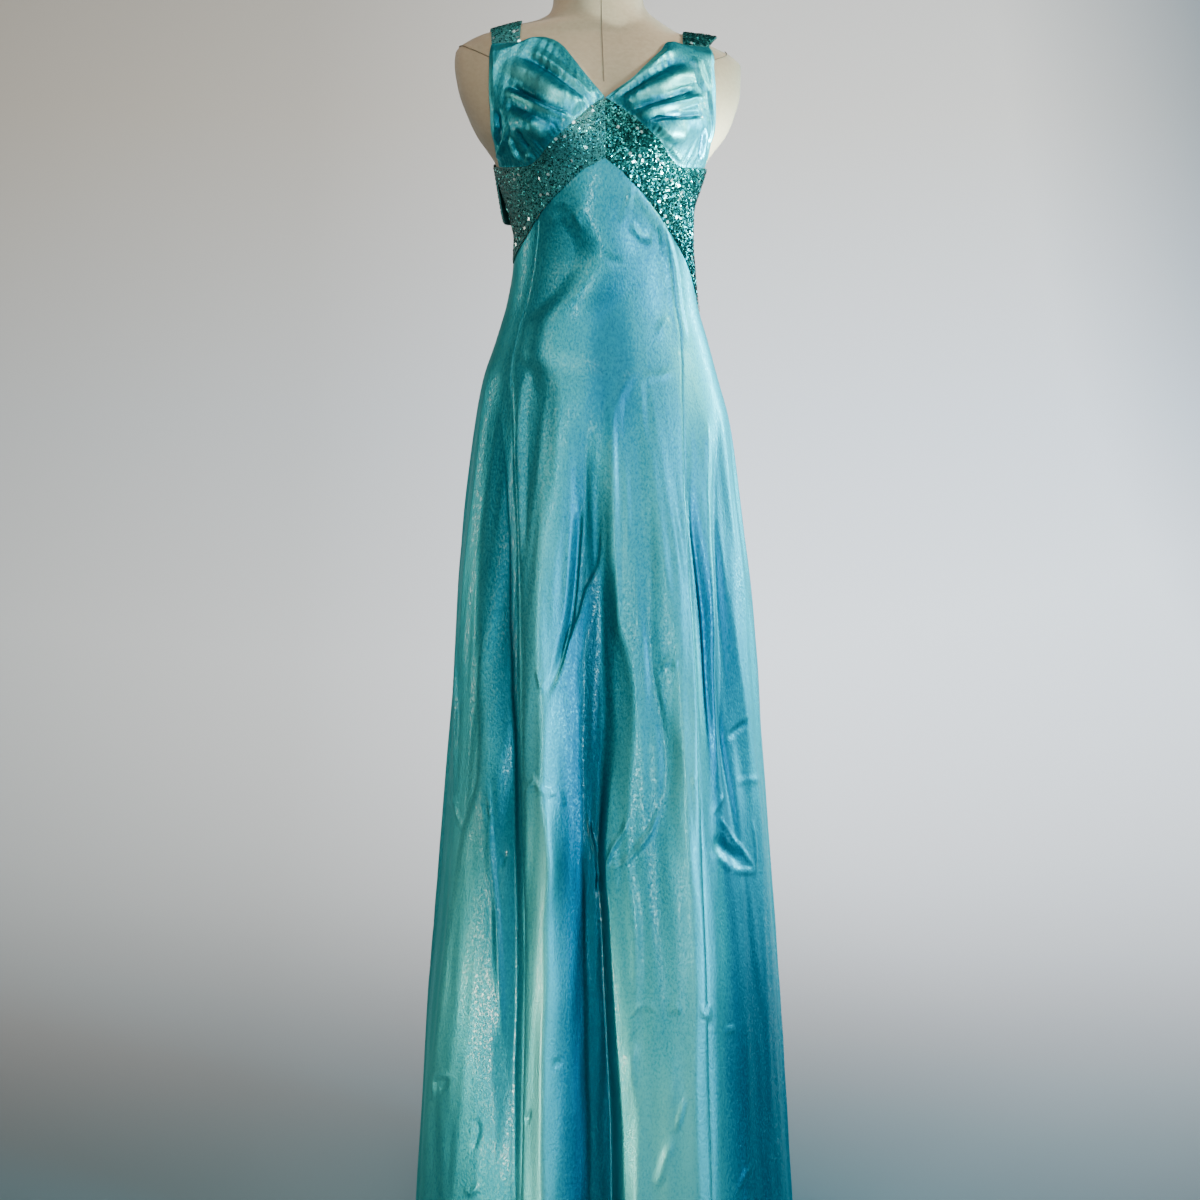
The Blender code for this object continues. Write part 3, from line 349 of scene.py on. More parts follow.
# the folds of the skirt: lines that run down it, in order round it, with nearly flat cloth between them;
# pixel x, pixel y and height out in mm at the front, angle, height and height out in mm at the back
foldLines = [
    fold(12, (-176, 1.05, 0), (-176, 0.8, -6), (-175, 0.5, -15), (-176, 0.2, -22), (-177, 0.012, -25),
        pixels=False),
    fold(7, (-157, 1.16, 0), (-156, 0.85, 8), (-157, 0.5, 15), (-157, 0.012, 19), pixels=False),
    fold(10, (-140, 1.05, 0), (-139, 0.8, -7), (-140, 0.5, -17), (-139, 0.012, -23), pixels=False),
    fold(6, (-121, 1.14, 0), (-121, 0.85, 7), (-123, 0.55, 13), (-122, 0.012, 17), pixels=False),
    fold(8, (-105, 1.05, 0), (-106, 0.8, -4), (-105, 0.5, -10), (-106, 0.012, -13), pixels=False),
    fold(8, (-90, 1.1, 0), (-89, 0.8, 1), (-88, 0.5, 1), (-88, 0.012, 1), pixels=False),
    # left of the centre: the flat side, the tuck along the seam, and the two ridges beyond it
    fold(6, (486, 400, 0), (484, 470, 2), (480, 560, 4), (482, 640, 6), (485, 720, 7), (486, 770, 8),
        (474, 815, 9), (464, 860, 10), (456, 930, 11), (447, 1000, 11), (440, 1055, 11), (431, 1120, 9),
        (426, 1180, 7), (424, 1230, 7)),
    fold(2, (496, 380, 0), (502, 460, -4), (505, 540, -8), (505, 620, -10), (506, 700, -12), (508, 770, -14),
        (507, 860, -17), (507, 930, -20), (506, 1000, -22), (504, 1060, -23), (505, 1140, -22),
        (506, 1190, -20), (507, 1230, -20)),
    fold(4, (512, 380, 0), (517, 460, 0), (520, 540, 1), (522, 620, 2), (522, 700, 1), (523, 780, -1),
        (526, 860, -5), (527, 930, -9), (526, 1000, -11), (525, 1060, -12), (521, 1140, -12),
        (517, 1190, -12), (514, 1230, -12)),
    fold(4, (562, 320, 0), (560, 380, 1), (559, 440, 3), (555, 480, 4), (546, 556, 4), (541, 610, 4),
        (541, 680, 3), (542, 740, 2), (541, 790, 1), (547, 835, 0), (550, 870, -1), (544, 930, -4),
        (543, 1000, -6), (540, 1060, -6), (540, 1140, -6), (541, 1200, -6), (541, 1230, -6)),
    # the deep centre valley: its right-facing wall, its floor, and its steep right wall
    fold(5, (592, 400, 0), (586, 450, -5), (582, 500, -11), (579, 545, -16), (573, 600, -19), (562, 650, -17),
        (561, 700, -17), (560, 760, -20), (561, 820, -24), (560, 870, -24), (562, 930, -27), (563, 1000, -28),
        (560, 1060, -28), (561, 1140, -28), (561, 1230, -28)),
    fold(6, (595, 400, 0), (592, 450, -2), (590, 500, -7), (588, 545, -14), (584, 600, -20), (578, 650, -23),
        (577, 700, -27), (575, 760, -32), (575, 820, -36), (575, 870, -38), (578, 930, -43), (581, 1000, -46),
        (581, 1060, -48), (584, 1140, -50), (584, 1230, -50)),
    fold(3, (598, 400, 0), (600, 450, -1), (602, 500, -4), (603, 560, -10), (604, 620, -18), (606, 700, -23),
        (604, 760, -28), (601, 810, -34), (599, 860, -40), (604, 930, -45), (608, 1000, -49),
        (612, 1060, -51), (617, 1140, -52), (618, 1230, -52)),
    fold(2.5, (604, 400, 0), (606, 450, 0), (607, 500, -1), (609, 560, -5), (612, 620, -12), (616, 700, -14),
        (614, 760, -16), (606, 820, -18), (604, 860, -14), (608, 930, -12), (612, 1000, -11),
        (616, 1060, -10), (621, 1140, -9), (623, 1230, -9)),
    # the wide face right of the valley, with two low ridges on it, up to the right seam
    fold(3, (610, 330, 0), (611, 420, 1), (613, 500, 1), (616, 560, -1), (619, 620, -2), (628, 660, -1),
        (634, 700, -1), (633, 750, -2), (629, 800, -5), (627, 850, -6), (631, 900, -1), (634, 953, 1),
        (638, 1040, 3), (631, 1060, 2), (636, 1119, 4), (633, 1230, 4)),
    fold(6, (641, 380, 0), (642, 440, 0), (646, 500, 1), (647, 560, 1), (648, 620, 1), (655, 670, 1),
        (661, 710, 1), (668, 760, 2), (660, 820, 1), (655, 880, 4), (656, 950, 6), (658, 1040, 8),
        (652, 1100, 8), (654, 1230, 9)),
    fold(2.5, (652, 380, 0), (653, 440, 4), (655, 500, 7), (660, 560, 10), (667, 610, 12), (671, 660, 13),
        (674, 710, 14), (676, 760, 16), (680, 810, 19), (681, 870, 22), (683, 950, 25), (684, 1050, 27),
        (685, 1130, 27), (690, 1230, 27)),
    fold(2.5, (684, 340, 0), (681, 400, 3), (681, 460, 6), (682, 540, 10), (684, 620, 15), (687, 700, 18),
        (687, 780, 20), (687, 860, 22), (690, 930, 25), (691, 1000, 27), (691, 1060, 27), (693, 1140, 27),
        (697, 1230, 27)),
    # right of the right seam
    fold(3, (690, 330, 0), (690, 400, 1), (689, 460, 2), (691, 540, 3), (698, 620, 4), (702, 700, 6),
        (703, 780, 12), (700, 860, 18), (703, 930, 22), (703, 1000, 24), (701, 1060, 24), (706, 1140, 24),
        (711, 1230, 24)),
    fold(4, (709, 340, 0), (709, 420, 1), (707, 480, 4), (706, 540, 7), (708, 620, 10), (708, 700, 12),
        (712, 760, 12), (716, 820, 12), (720, 900, 13), (726, 1000, 13), (730, 1100, 13), (735, 1230, 13)),
    fold(3, (718, 400, 0), (718, 500, -7), (722, 580, -9), (725, 660, -10), (725, 740, -9), (734, 820, -2),
        (745, 900, 2), (752, 1000, 3), (757, 1100, 3), (762, 1230, 3)),
    fold(8, (86, 1.1, 0), (86, 0.8, 1), (85, 0.5, 1), (85, 0.012, 1), pixels=False),
    fold(8, (101, 1.0, 0), (101, 0.8, -3), (102, 0.5, -7), (102, 0.012, -9), pixels=False),
    fold(6, (117, 1.12, 0), (117, 0.85, 7), (119, 0.5, 13), (118, 0.012, 16), pixels=False),
    fold(10, (135, 1.05, 0), (135, 0.8, -6), (136, 0.5, -15), (136, 0.012, -21), pixels=False),
    fold(7, (153, 1.16, 0), (153, 0.85, 8), (155, 0.5, 15), (154, 0.012, 19), pixels=False),
    fold(10, (170, 1.1, 0), (170, 0.8, 0), (169, 0.5, -6), (170, 0.012, -9), pixels=False),
]


# where a fold is sampled across its softness, and the least degrees between two folds
folding = dict(samples=(-1.0, -0.5, 0.0, 0.5, 1.0), least=0.01)


def foldOffset(angle, z):
    # flat faces between the lines, rounded over each line by its softness
    levels, back = np.unique(z, return_inverse=True)
    places = np.stack([line["angleAt"](levels) for line in skirtFolds])
    places = np.maximum.accumulate(places, axis=0)
    places = places + folding["least"] * np.arange(len(skirtFolds))[:, None]
    heights = np.stack([line["heightAt"](levels) for line in skirtFolds])
    softness = np.array([line["soft"] for line in skirtFolds])
    places = np.vstack([places[-1:] - 360.0, places, places[:1] + 360.0])
    heights = np.vstack([heights[-1:], heights, heights[:1]])
    softness = np.hstack([softness[-1:], softness, softness[:1]])
    shape = np.shape(z)
    back = back.reshape(-1)
    turn = np.asarray(angle, dtype=float).reshape(-1)
    turn = (turn + 180.0) % 360.0 - 180.0
    size = np.degrees(1.0 / bodyRadius(turn, levels[back]))

    def between(turned):
        k = np.zeros(turned.shape, dtype=int)
        for n in range(1, len(places) - 1):
            k += places[n][back] <= turned
        start, end = places[k, back], places[k + 1, back]
        return k, np.clip((turned - start) / (end - start), 0.0, 1.0)

    k, t = between(turn)
    reach = size * (softness[k] * (1.0 - t) + softness[k + 1] * t)
    total = 0.0 * turn
    weight = 1.0 / len(folding["samples"])
    for share in folding["samples"]:
        k, t = between(turn + share * reach)
        total += (heights[k, back] * (1.0 - t) + heights[k + 1, back] * t) * weight
    return total.reshape(shape)


skirtFolds = tracedLines(foldLines, bodyRadius)


def skirtBase(angle, z):
    angle, z = np.broadcast_arrays(np.asarray(angle, dtype=float), np.asarray(z, dtype=float))
    return bodyRadius(angle, z) + foldOffset(angle, z)


# creases laid over the folds, as seen from the camera: pixel x, pixel y, height in mm
longCreases = [
    # the winding ridge over the belly
    crease(38, 60, 0.25, (598, 165, 0), (585, 205, 5), (604, 253, 8), (584, 288, 9), (552, 324, 9),
        (546, 350, 9), (560, 378, 8), (564, 400, 7), (560, 440, 4), (556, 480, 2), (550, 540, 0)),
    crease(14, 10, 0.3, (533, 360, 0), (521, 390, 1.2), (520, 440, 2), (519, 500, 2), (521, 575, 0)),
    # the narrow fold that closes on the left ridge from the right
    crease(9, 6, 0.6, (581, 500, 0), (578, 537, -5), (572, 609, -7), (560, 664, -5), (551, 698, 0)),
    crease(5, 22, 0.7, (603, 520, 0), (600, 560, 2), (586, 592, 4), (579, 618, 5), (571, 640, 5),
        (559, 675, 4), (550, 700, 0)),
    # the two fine ridges that start under the belly at the right
    crease(14, 14, 0.5, (641, 366, 0), (627, 380, 1), (613, 418, 1.8), (612, 462, 1.5), (613, 500, 1),
        (616, 549, 0)),
    crease(14, 8, 0.6, (640, 366, 0), (642, 418, 1.2), (650, 462, 1.5), (652, 500, 1), (656, 549, 0)),
    crease(4, 14, 0.6, (655, 660, 0), (662, 700, 1.5), (673, 751, 0)),
    crease(4, 4, 0.7, (708, 420, 0), (708, 450, 1.5), (708, 490, 0)),
    crease(12, 4, 0.7, (487, 775, 0), (489, 800, 2), (492, 851, 3.5), (499, 927, 3.5), (502, 1004, 2),
        (503, 1045, 0)),
    crease(10, 12, 0.5, (459, 560, 0), (456, 640, 2), (455, 730, 2.5), (452, 800, 0)),
    # the edge of the belly, under the band at the right
    crease(16, 10, 0.4, (631, 185, 0), (650, 208, 2), (662, 226, 3), (675, 275, 3), (682, 324, 2.5),
        (684, 350, 0)),
]
# the same for the sides and the back, where the camera doesn't reach: angle, height, height in mm
hiddenCreases = [
    crease(14, 9, 0.7, (-95, 1.18, 0), (-96, 1.02, 3), (-98, 0.8, 4), (-97, 0.55, 5), (-99, 0.25, 5),
        (-99, 0.012, 5)),
    crease(9, 14, 0.6, (-112, 0.98, 0), (-113, 0.8, 4), (-115, 0.52, 5), (-113, 0.3, 0)),
    crease(18, 12, 0.75, (-118, 1.22, 0), (-121, 1.05, 3), (-120, 0.82, 5), (-123, 0.6, 6), (-121, 0.34, 5),
        (-123, 0.012, 6)),
    crease(6, 13, 0.7, (-131, 0.9, 0), (-134, 0.72, 4), (-137, 0.58, 0)),
    crease(13, 6, 0.7, (-146, 0.72, 0), (-145, 0.5, 4), (-147, 0.3, 5), (-146, 0.012, 6)),
    crease(12, 17, 0.7, (-154, 1.26, 0), (-157, 1.08, 3), (-155, 0.86, 5), (-158, 0.62, 6), (-156, 0.4, 5),
        (-158, 0.012, 6)),
    crease(10, 12, 0.6, (-168, 0.86, 0), (-169, 0.66, 4), (-171, 0.4, 5), (-169, 0.012, 5)),
    crease(12, 8, 0.6, (173, 1.05, 0), (172, 0.86, 3), (170, 0.6, 4), (171, 0.38, 0)),
    crease(14, 13, 0.75, (153, 1.28, 0), (151, 1.1, 3), (154, 0.9, 5), (152, 0.64, 6), (155, 0.38, 6),
        (154, 0.012, 6)),
    crease(6, 12, 0.7, (141, 0.62, 0), (143, 0.42, 4), (142, 0.2, 5), (143, 0.012, 5)),
    crease(12, 6, 0.7, (128, 0.84, 0), (127, 0.66, 4), (124, 0.5, 0)),
    crease(12, 17, 0.7, (114, 1.2, 0), (116, 1.02, 3), (117, 0.78, 5), (115, 0.5, 5), (118, 0.24, 6),
        (118, 0.012, 6)),
    crease(8, 12, 0.6, (104, 0.7, 0), (103, 0.48, 4), (105, 0.22, 4), (104, 0.012, 4)),
    crease(10, 14, 0.6, (92, 1.1, 0), (91, 0.92, 3), (93, 0.66, 4), (91, 0.4, 5), (92, 0.16, 0)),
    crease(12, 8, 0.6, (80, 0.66, 0), (81, 0.44, 4), (79, 0.2, 4), (80, 0.012, 4)),
    crease(8, 12, 0.6, (-84, 0.8, 0), (-83, 0.55, 4), (-85, 0.3, 4), (-84, 0.012, 4)),
]
# short creases and dents: height and width in mm, then pixel x, pixel y of a few points
shortCreases = [
    stroke(1.2, 4, (573, 222), (560, 218), (548, 222)),
    stroke(1.2, 4, (573, 206), (560, 203), (549, 205)),
    stroke(1.6, 5, (584, 228), (575, 217), (588, 208)),
    stroke(-1.4, 6, (600, 253), (612, 262), (622, 262)),
    stroke(-3.0, 7, (657, 248), (655, 236), (658, 228), sharp=0.3),
    stroke(1.8, 7, (630, 224), (640, 236), (653, 240), sharp=0.3),
    stroke(1.6, 7, (632, 186), (628, 205), (619, 222), sharp=0.3),
    stroke(1.6, 5, (640, 376), (656, 376), (674, 372)),
    stroke(1.2, 7, (657, 335), (664, 323), (670, 318), sharp=0.3),
    stroke(1.0, 4, (662, 288), (672, 285)),
    stroke(2.0, 3.5, (536, 668), (541, 688), (545, 682), (538, 681)),
    stroke(2.2, 3.5, (660, 668), (670, 658), (676, 662), (674, 671)),
    stroke(3.0, 5, (523, 794), (534, 782), (546, 793)),
    stroke(2.2, 5, (545, 792), (560, 793), (564, 808)),
    stroke(2.6, 4, (588, 813), (591, 836), (597, 856)),
    stroke(3.2, 4.5, (604, 868), (612, 848), (624, 830), (628, 818)),
    stroke(3.6, 4.5, (606, 871), (622, 864), (640, 846), (650, 832), (660, 808)),
    stroke(-2.6, 4, (614, 865), (628, 856), (638, 845)),
    stroke(-3.0, 5, (596, 858), (600, 872), (597, 890)),
    stroke(1.6, 3, (690, 777), (694, 779), (695, 786)),
    stroke(-3.0, 5, (728, 738), (738, 730), (748, 722)),
    stroke(1.0, 5, (735, 782), (748, 780), (762, 779)),
    stroke(1.8, 4, (711, 813), (719, 803), (725, 793)),
    stroke(1.8, 4.5, (712, 814), (726, 826), (742, 850), (757, 870)),
    stroke(1.5, 4, (757, 871), (745, 871), (734, 871)),
    stroke(1.4, 4, (710, 851), (720, 860), (734, 871)),
    stroke(-3.4, 12, (713, 838), (726, 850), (742, 862), sharp=0.2),
    stroke(1.8, 5, (753, 820), (756, 845), (757, 870)),
    stroke(-2.0, 4, (484, 800), (487, 812), (490, 826)),
    stroke(-2.0, 4, (501, 866), (503, 858), (508, 856)),
    stroke(1.4, 5, (458, 805), (452, 800), (463, 830)),
    stroke(1.6, 5, (631, 1012), (642, 1006), (656, 1007)),
    stroke(2.0, 4, (668, 1012), (676, 1006), (681, 1014)),
    stroke(2.4, 4, (700, 1010), (709, 1018), (708, 1006)),
    stroke(2.0, 4, (724, 1034), (730, 1029), (737, 1031)),
    stroke(-2.4, 4, (552, 1067), (556, 1064), (563, 1063)),
    stroke(-2.4, 4, (523, 1116), (527, 1120), (530, 1112)),
    stroke(3.0, 5, (432, 1100), (434, 1078), (442, 1074), (452, 1076)),
    stroke(-2.2, 5, (438, 1092), (444, 1084), (449, 1080)),
    stroke(2.2, 5, (463, 1190), (471, 1193), (480, 1186)),
    stroke(-1.6, 7, (472, 1150), (478, 1132), (476, 1118), sharp=0.3),
    stroke(2.4, 5, (676, 1130), (682, 1108), (686, 1100)),
    stroke(1.8, 6, (736, 1195), (746, 1172), (752, 1166), sharp=0.3),
    stroke(1.8, 7, (655, 1190), (664, 1160), (672, 1140), sharp=0.4),
]
hiddenStrokes = [
    stroke(2.2, 6, (-101, 0.93), (-106, 0.91), (-110, 0.93)),
    stroke(2.6, 5, (-118, 0.66), (-124, 0.64), (-129, 0.66)),
    stroke(2.8, 6, (-127, 0.4), (-133, 0.37), (-140, 0.39)),
    stroke(2.6, 5, (-152, 0.76), (-158, 0.73), (-162, 0.75)),
    stroke(-2.4, 6, (-163, 0.5), (-160, 0.47), (-166, 0.44)),
    stroke(2.4, 6, (172, 0.7), (166, 0.68), (162, 0.71)),
    stroke(3.0, 5, (158, 0.5), (153, 0.46), (148, 0.48)),
    stroke(-2.4, 6, (137, 0.78), (131, 0.75), (128, 0.77)),
    stroke(2.8, 5, (121, 0.42), (116, 0.38), (111, 0.41)),
    stroke(2.0, 6, (108, 0.86), (103, 0.84), (99, 0.87)),
    stroke(2.4, 5, (96, 0.34), (91, 0.31), (87, 0.34)),
    stroke(2.4, 5, (-90, 0.42), (-94, 0.39), (-99, 0.41)),
    stroke(2.6, 6, (-140, 0.22), (-147, 0.19), (-152, 0.22)),
    stroke(2.6, 6, (176, 0.26), (169, 0.22), (163, 0.25)),
]
for row in hiddenCreases + hiddenStrokes:
    row["pixels"] = False
skirtLines = tracedLines(longCreases + hiddenCreases, skirtBase)
skirtStrokes = tracedStrokes(shortCreases + hiddenStrokes, skirtBase)
print("creases traced:", len(skirtLines) + len(skirtStrokes))


# the cloth lies smooth over the belly and loose below it, and can't sink into the form;
# each wave is its seed, its height, and its size across and along, in metres
drape = dict(looseBelow=1.22, fade=0.30, waves=[(7, 0.00055, 0.045, 0.5), (8, 0.00022, 0.022, 0.16)],
             overForm=0.0012, overFoot=0.02)


def skirtSurface(angle, z):
    shape = np.broadcast(angle, z).shape
    angle, z = np.broadcast_to(angle, shape).astype(float), np.broadcast_to(z, shape).astype(float)
    loose = softStep((drape["looseBelow"] - z) / drape["fade"])
    cloth = (skirtBase(angle, z) + lineOffset(angle, z, skirtLines)
             + strokeOffset(angle, z, skirtStrokes))
    for wave in drape["waves"]:
        cloth = cloth + loose * waver(angle, z, *wave)
    least = formRadius(angle, z) - easeAt(z) + gown["wall"] + drape["overForm"]
    return np.where(z > form["footZ"] - drape["overFoot"], np.maximum(cloth, least), cloth)


# painted shade: the cloth's colour deepens with its depth against its mean over a hand's breadth and lightens
# on the crests, and painted shadow darkens it at these places:
# angle, height, their reach in degrees and metres, depth
shading = dict(reach=22.0, samples=9, full=0.018, places=[
    (60.0, 0.12, 27.0, 0.42, 0.9), (5.0, 1.17, 18.0, 0.11, 0.6), (-7.0, 0.25, 9.0, 0.4, 0.5),
    (-8.0, 0.66, 4.5, 0.36, 0.5), (45.0, 0.74, 6.5, 0.28, 1.1)])


def paintedFoldShade(angle, z):
    spread = np.linspace(-1.0, 1.0, shading["samples"]) * shading["reach"]
    mean = sum(foldOffset(angle + turn, z) for turn in spread) / len(spread)
    depth = (foldOffset(angle, z) - mean) / shading["full"]
    # painted shadow patches, each darkening the colour most at its middle
    for middle, height, across, along, dark in shading["places"]:
        apart = np.hypot(turnBetween(angle, middle) / across, (z - height) / along)
        depth = depth - dark * softStep(1.5 - 1.2 * apart)
    return np.clip(depth, -1.0, 1.0)


def clearSelection():
    for piece in bpy.context.selected_objects:
        piece.select_set(False)


def finishPiece(piece, name, node=None):
    piece.name = piece.data.name = name
    clearSelection()
    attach(piece, "root")
    if node:
        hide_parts(node)
    return piece


def makeActive(piece):
    clearSelection()
    piece.select_set(True)
    bpy.context.view_layer.objects.active = piece


def pointsOf(piece):
    flat = np.empty(len(piece.data.vertices) * 3)
    piece.data.vertices.foreach_get("co", flat)
    return flat.reshape(-1, 3)


def movePoints(piece, places):
    piece.data.vertices.foreach_set("co", places.ravel())
    piece.data.update()


def shadeSmooth(piece, angle):
    makeActive(piece)
    bpy.ops.object.shade_smooth_by_angle(angle=math.radians(angle))


def layCloth(name, columns, rows, layer, node, wall=gown["wall"], depth=None):
    # layer(u, v) gives the outer surface at the shares u across and v up
    clearSelection()
    bpy.ops.mesh.primitive_grid_add(x_subdivisions=columns, y_subdivisions=rows, size=1.0)
    piece = bpy.context.object
    shares = np.clip(pointsOf(piece)[:, :2] + 0.5, 0.0, 1.0)
    movePoints(piece, layer(shares[:, 0], shares[:, 1]))
    thicken = piece.modifiers.new("thickness", "SOLIDIFY")
    thicken.thickness = wall
    thicken.offset = -1.0
    bpy.ops.object.modifier_apply(modifier=thicken.name)
    shadeSmooth(piece, 60.0)
    if depth:
        # how far each point lies inside the folds around it, from -1 to 1, which the satin turns into painted
        # shade in the hollows and a painted highlight on the crests
        x, y, z = pointsOf(piece).T
        shade = piece.data.attributes.new("fold", "FLOAT", "POINT")
        shade.data.foreach_set("value", depth(np.degrees(np.arctan2(x, -y)), z).astype(np.float32))
    print("laid", name, len(piece.data.polygons) * 2, "triangles")
    return finishPiece(piece, name + "_cloth", node)


def acrossGap(r, gap=gown["seamGap"]):
    return np.degrees(0.5 * gap / r)


def besideLine(line, side, gapSide):
    def moved(z):
        angle = side * line(z)
        return angle + gapSide * acrossGap(bodyRadius(angle, z))

    return moved


def straightLine(angle):
    return lambda z: angle + 0.0 * z


def bandLowEdge(angle):
    left, right = edgeAt["chevronLowLeft"](-angle), edgeAt["chevronLowRight"](angle)
    return np.where(angle < 0.0, left, right) - 0.5 * gown["steepGap"]


def backLowEdge(angle):
    return gown["backLowZ"] - 0.5 * gown["seamGap"] + 0.0 * angle


# rolled seam edges, puckers beside them and the turned hem, in metres; tuckDepth is a share of seamDepth
sewing = dict(seamReach=0.0030, seamDepth=0.0007, tuckDepth=0.7, hemWidth=0.012, hemStep=0.0006,
              hemRise=0.0015, puckerLength=0.011, puckerDepth=0.00025, puckerReach=0.014,
              puckerStart=0.003, firstTop=1.3)


def skirtPanel(name, columns, rows, topAt, lines):
    # the lines are even shares of the panel apart; the first and last are its seams
    shares = np.linspace(0.0, 1.0, len(lines))
    tops = []
    for line in lines:
        height = sewing["firstTop"]
        for _ in range(30):
            height = topAt(line(height))
        tops.append(float(height))
    first, last = lines[0], lines[-1]

    def layer(u, v):
        angle, top = 0.0 * u, 0.0 * u
        low = gown["hemZ"]
        for k in range(len(lines) - 1):
            here = (u >= shares[k]) & (u <= shares[k + 1])
            t = (u - shares[k]) / (shares[k + 1] - shares[k])
            start = lines[k](low + (tops[k] - low) * v)
            end = lines[k + 1](low + (tops[k + 1] - low) * v)
            startTop, endTop = lines[k](tops[k]), lines[k + 1](tops[k + 1])
            angle = np.where(here, start + (end - start) * t, angle)
            top = np.where(here, topAt(startTop + (endTop - startTop) * t), top)
        z = low + (top - low) * v
        size = np.radians(1.0) * bodyRadius(angle, z)
        fromSeam = np.minimum(angle - first(z), last(z) - angle) * size
        roll = softStep(1.0 - fromSeam / sewing["seamReach"]) * sewing["seamDepth"]
        pucker = (sewing["puckerDepth"] * np.sin(2.0 * math.pi * z / sewing["puckerLength"])
                  * softStep(1.0 - fromSeam / sewing["puckerReach"])
                  * softStep(fromSeam / sewing["puckerStart"]))
        fromTop = np.clip((top - z) / sewing["seamReach"], 0.0, None)
        tuck = softStep(1.0 - fromTop) * sewing["seamDepth"] * sewing["tuckDepth"]
        hem = softStep((z - low - sewing["hemWidth"]) / sewing["hemRise"]) * sewing["hemStep"]
        return pointOn(skirtSurface, angle, z, pucker - roll - tuck - hem, 0.06, 0.0004)

    return layCloth(name, columns, rows, layer, name, depth=paintedFoldShade)


def makeSkirt():
    side, turn = gown["sideSeam"], gown["seamTurn"]
    middle = 180.0 - acrossGap(0.1)
    leftSeam, rightSeam = lineAt["seamLeft"], lineAt["seamRight"]
    panels = dict(
        skirt_front=(158, 300, bandLowEdge, [
            besideLine(leftSeam, -1.0, 1.0), straightLine(0.0), besideLine(rightSeam, 1.0, -1.0)]),
        skirt_side_left=(84, 300, bandLowEdge, [
            straightLine(turn - side), besideLine(leftSeam, -1.0, -1.0)]),
        skirt_side_right=(84, 300, bandLowEdge, [
            besideLine(rightSeam, 1.0, 1.0), straightLine(side - turn)]),
        skirt_back_left=(90, 270, backLowEdge, [
            straightLine(-middle), besideLine(straightLine(side), -1.0, -1.0)]),
        skirt_back_right=(90, 270, backLowEdge, [
            besideLine(straightLine(side), 1.0, 1.0), straightLine(middle)]))
    return {name: skirtPanel(name, *panel) for name, panel in panels.items()}


# the gathered cups, in metres and in shares of their width and height
cup = dict(columns=160, rows=144, wall=0.001, standOff=0.0045, clear=0.0002, waves=(21, 0.0002, 0.02, 0.06),
           freeFrom=0.10, freeBeside=0.12, sideLeast=0.35, puckerDepth=0.0006, puckerTurns=150.0,
           puckerSway=3.0, swayTurns=37.0, puckerTop=0.14, puckerFoot=0.02, edgeDepth=0.0008,
           edgeWidth=0.03, shadeFullDepth=0.006)
# their gathers, as seen from the camera: height and width in mm, then pixel x, pixel y of a few points
cupGathers = dict(
    left=[
        # ridges and valleys by turns, from the neckline down to the band
        stroke(3.5, 8, (592, 103), (576, 86), (556, 69), (540, 57), (530, 50), sharp=0.3),
        stroke(-3.8, 7, (591, 107), (575, 91), (556, 76), (537, 64), (522, 55), sharp=0.3),
        stroke(6.0, 12, (584, 111), (562, 97), (541, 83), (522, 72), (506, 64), sharp=0.15),
        stroke(-5.5, 5, (574, 118), (553, 109), (533, 98), (510, 87), sharp=0.6),
        stroke(5.5, 6, (570, 121), (556, 114), (536, 105), (514, 95), (506, 91), sharp=0.4),
        stroke(-3.5, 8, (562, 129), (545, 121), (525, 111), (508, 104), sharp=0.3),
        stroke(3.0, 10, (550, 140), (542, 132), (530, 123), sharp=0.1),
        # the zigzag folds beside the band, and the dark hollow over them
        stroke(-5.0, 8, (500, 108), (502, 128), (501, 148), sharp=0.3),
        stroke(6.0, 4.5, (513, 124), (508, 138), (503, 150), (498, 161), sharp=0.6),
        stroke(5.5, 4.5, (513, 134), (517, 148), (524, 164), sharp=0.6),
        stroke(4.0, 4, (525, 165), (531, 154), (537, 162), sharp=0.5),
        stroke(-3.5, 7, (520, 128), (526, 140), (533, 149), sharp=0.3),
        stroke(2.5, 7, (495, 60), (490, 88), (491, 112), sharp=0.2),
    ],
    right=[
        stroke(4.0, 7, (611, 98), (633, 76), (659, 59), (678, 49), sharp=0.3),
        stroke(-3.8, 7, (617, 101), (644, 81), (668, 67), (688, 60), sharp=0.3),
        stroke(5.5, 11, (624, 106), (648, 92), (672, 80), (698, 73), sharp=0.15),
        stroke(-5.5, 5, (630, 112), (652, 103), (674, 97), (692, 91), sharp=0.6),
        stroke(7.0, 6, (634, 117), (656, 111), (678, 106), (702, 98), sharp=0.4),
        stroke(-5.0, 5, (640, 123), (660, 118), (680, 117), (700, 115), sharp=0.5),
        stroke(4.5, 12, (650, 136), (668, 132), (686, 134), sharp=0.1),
        stroke(3.0, 4, (650, 135), (664, 143), (676, 156), (684, 166), sharp=0.6),
        stroke(-5.0, 7, (700, 128), (700, 145), (697, 160), sharp=0.3),
        stroke(4.0, 4.5, (705, 166), (708, 140), (709, 110), (706, 86), sharp=0.4),
        stroke(3.0, 8, (704, 92), (698, 74), (693, 58), sharp=0.2),
    ],
)


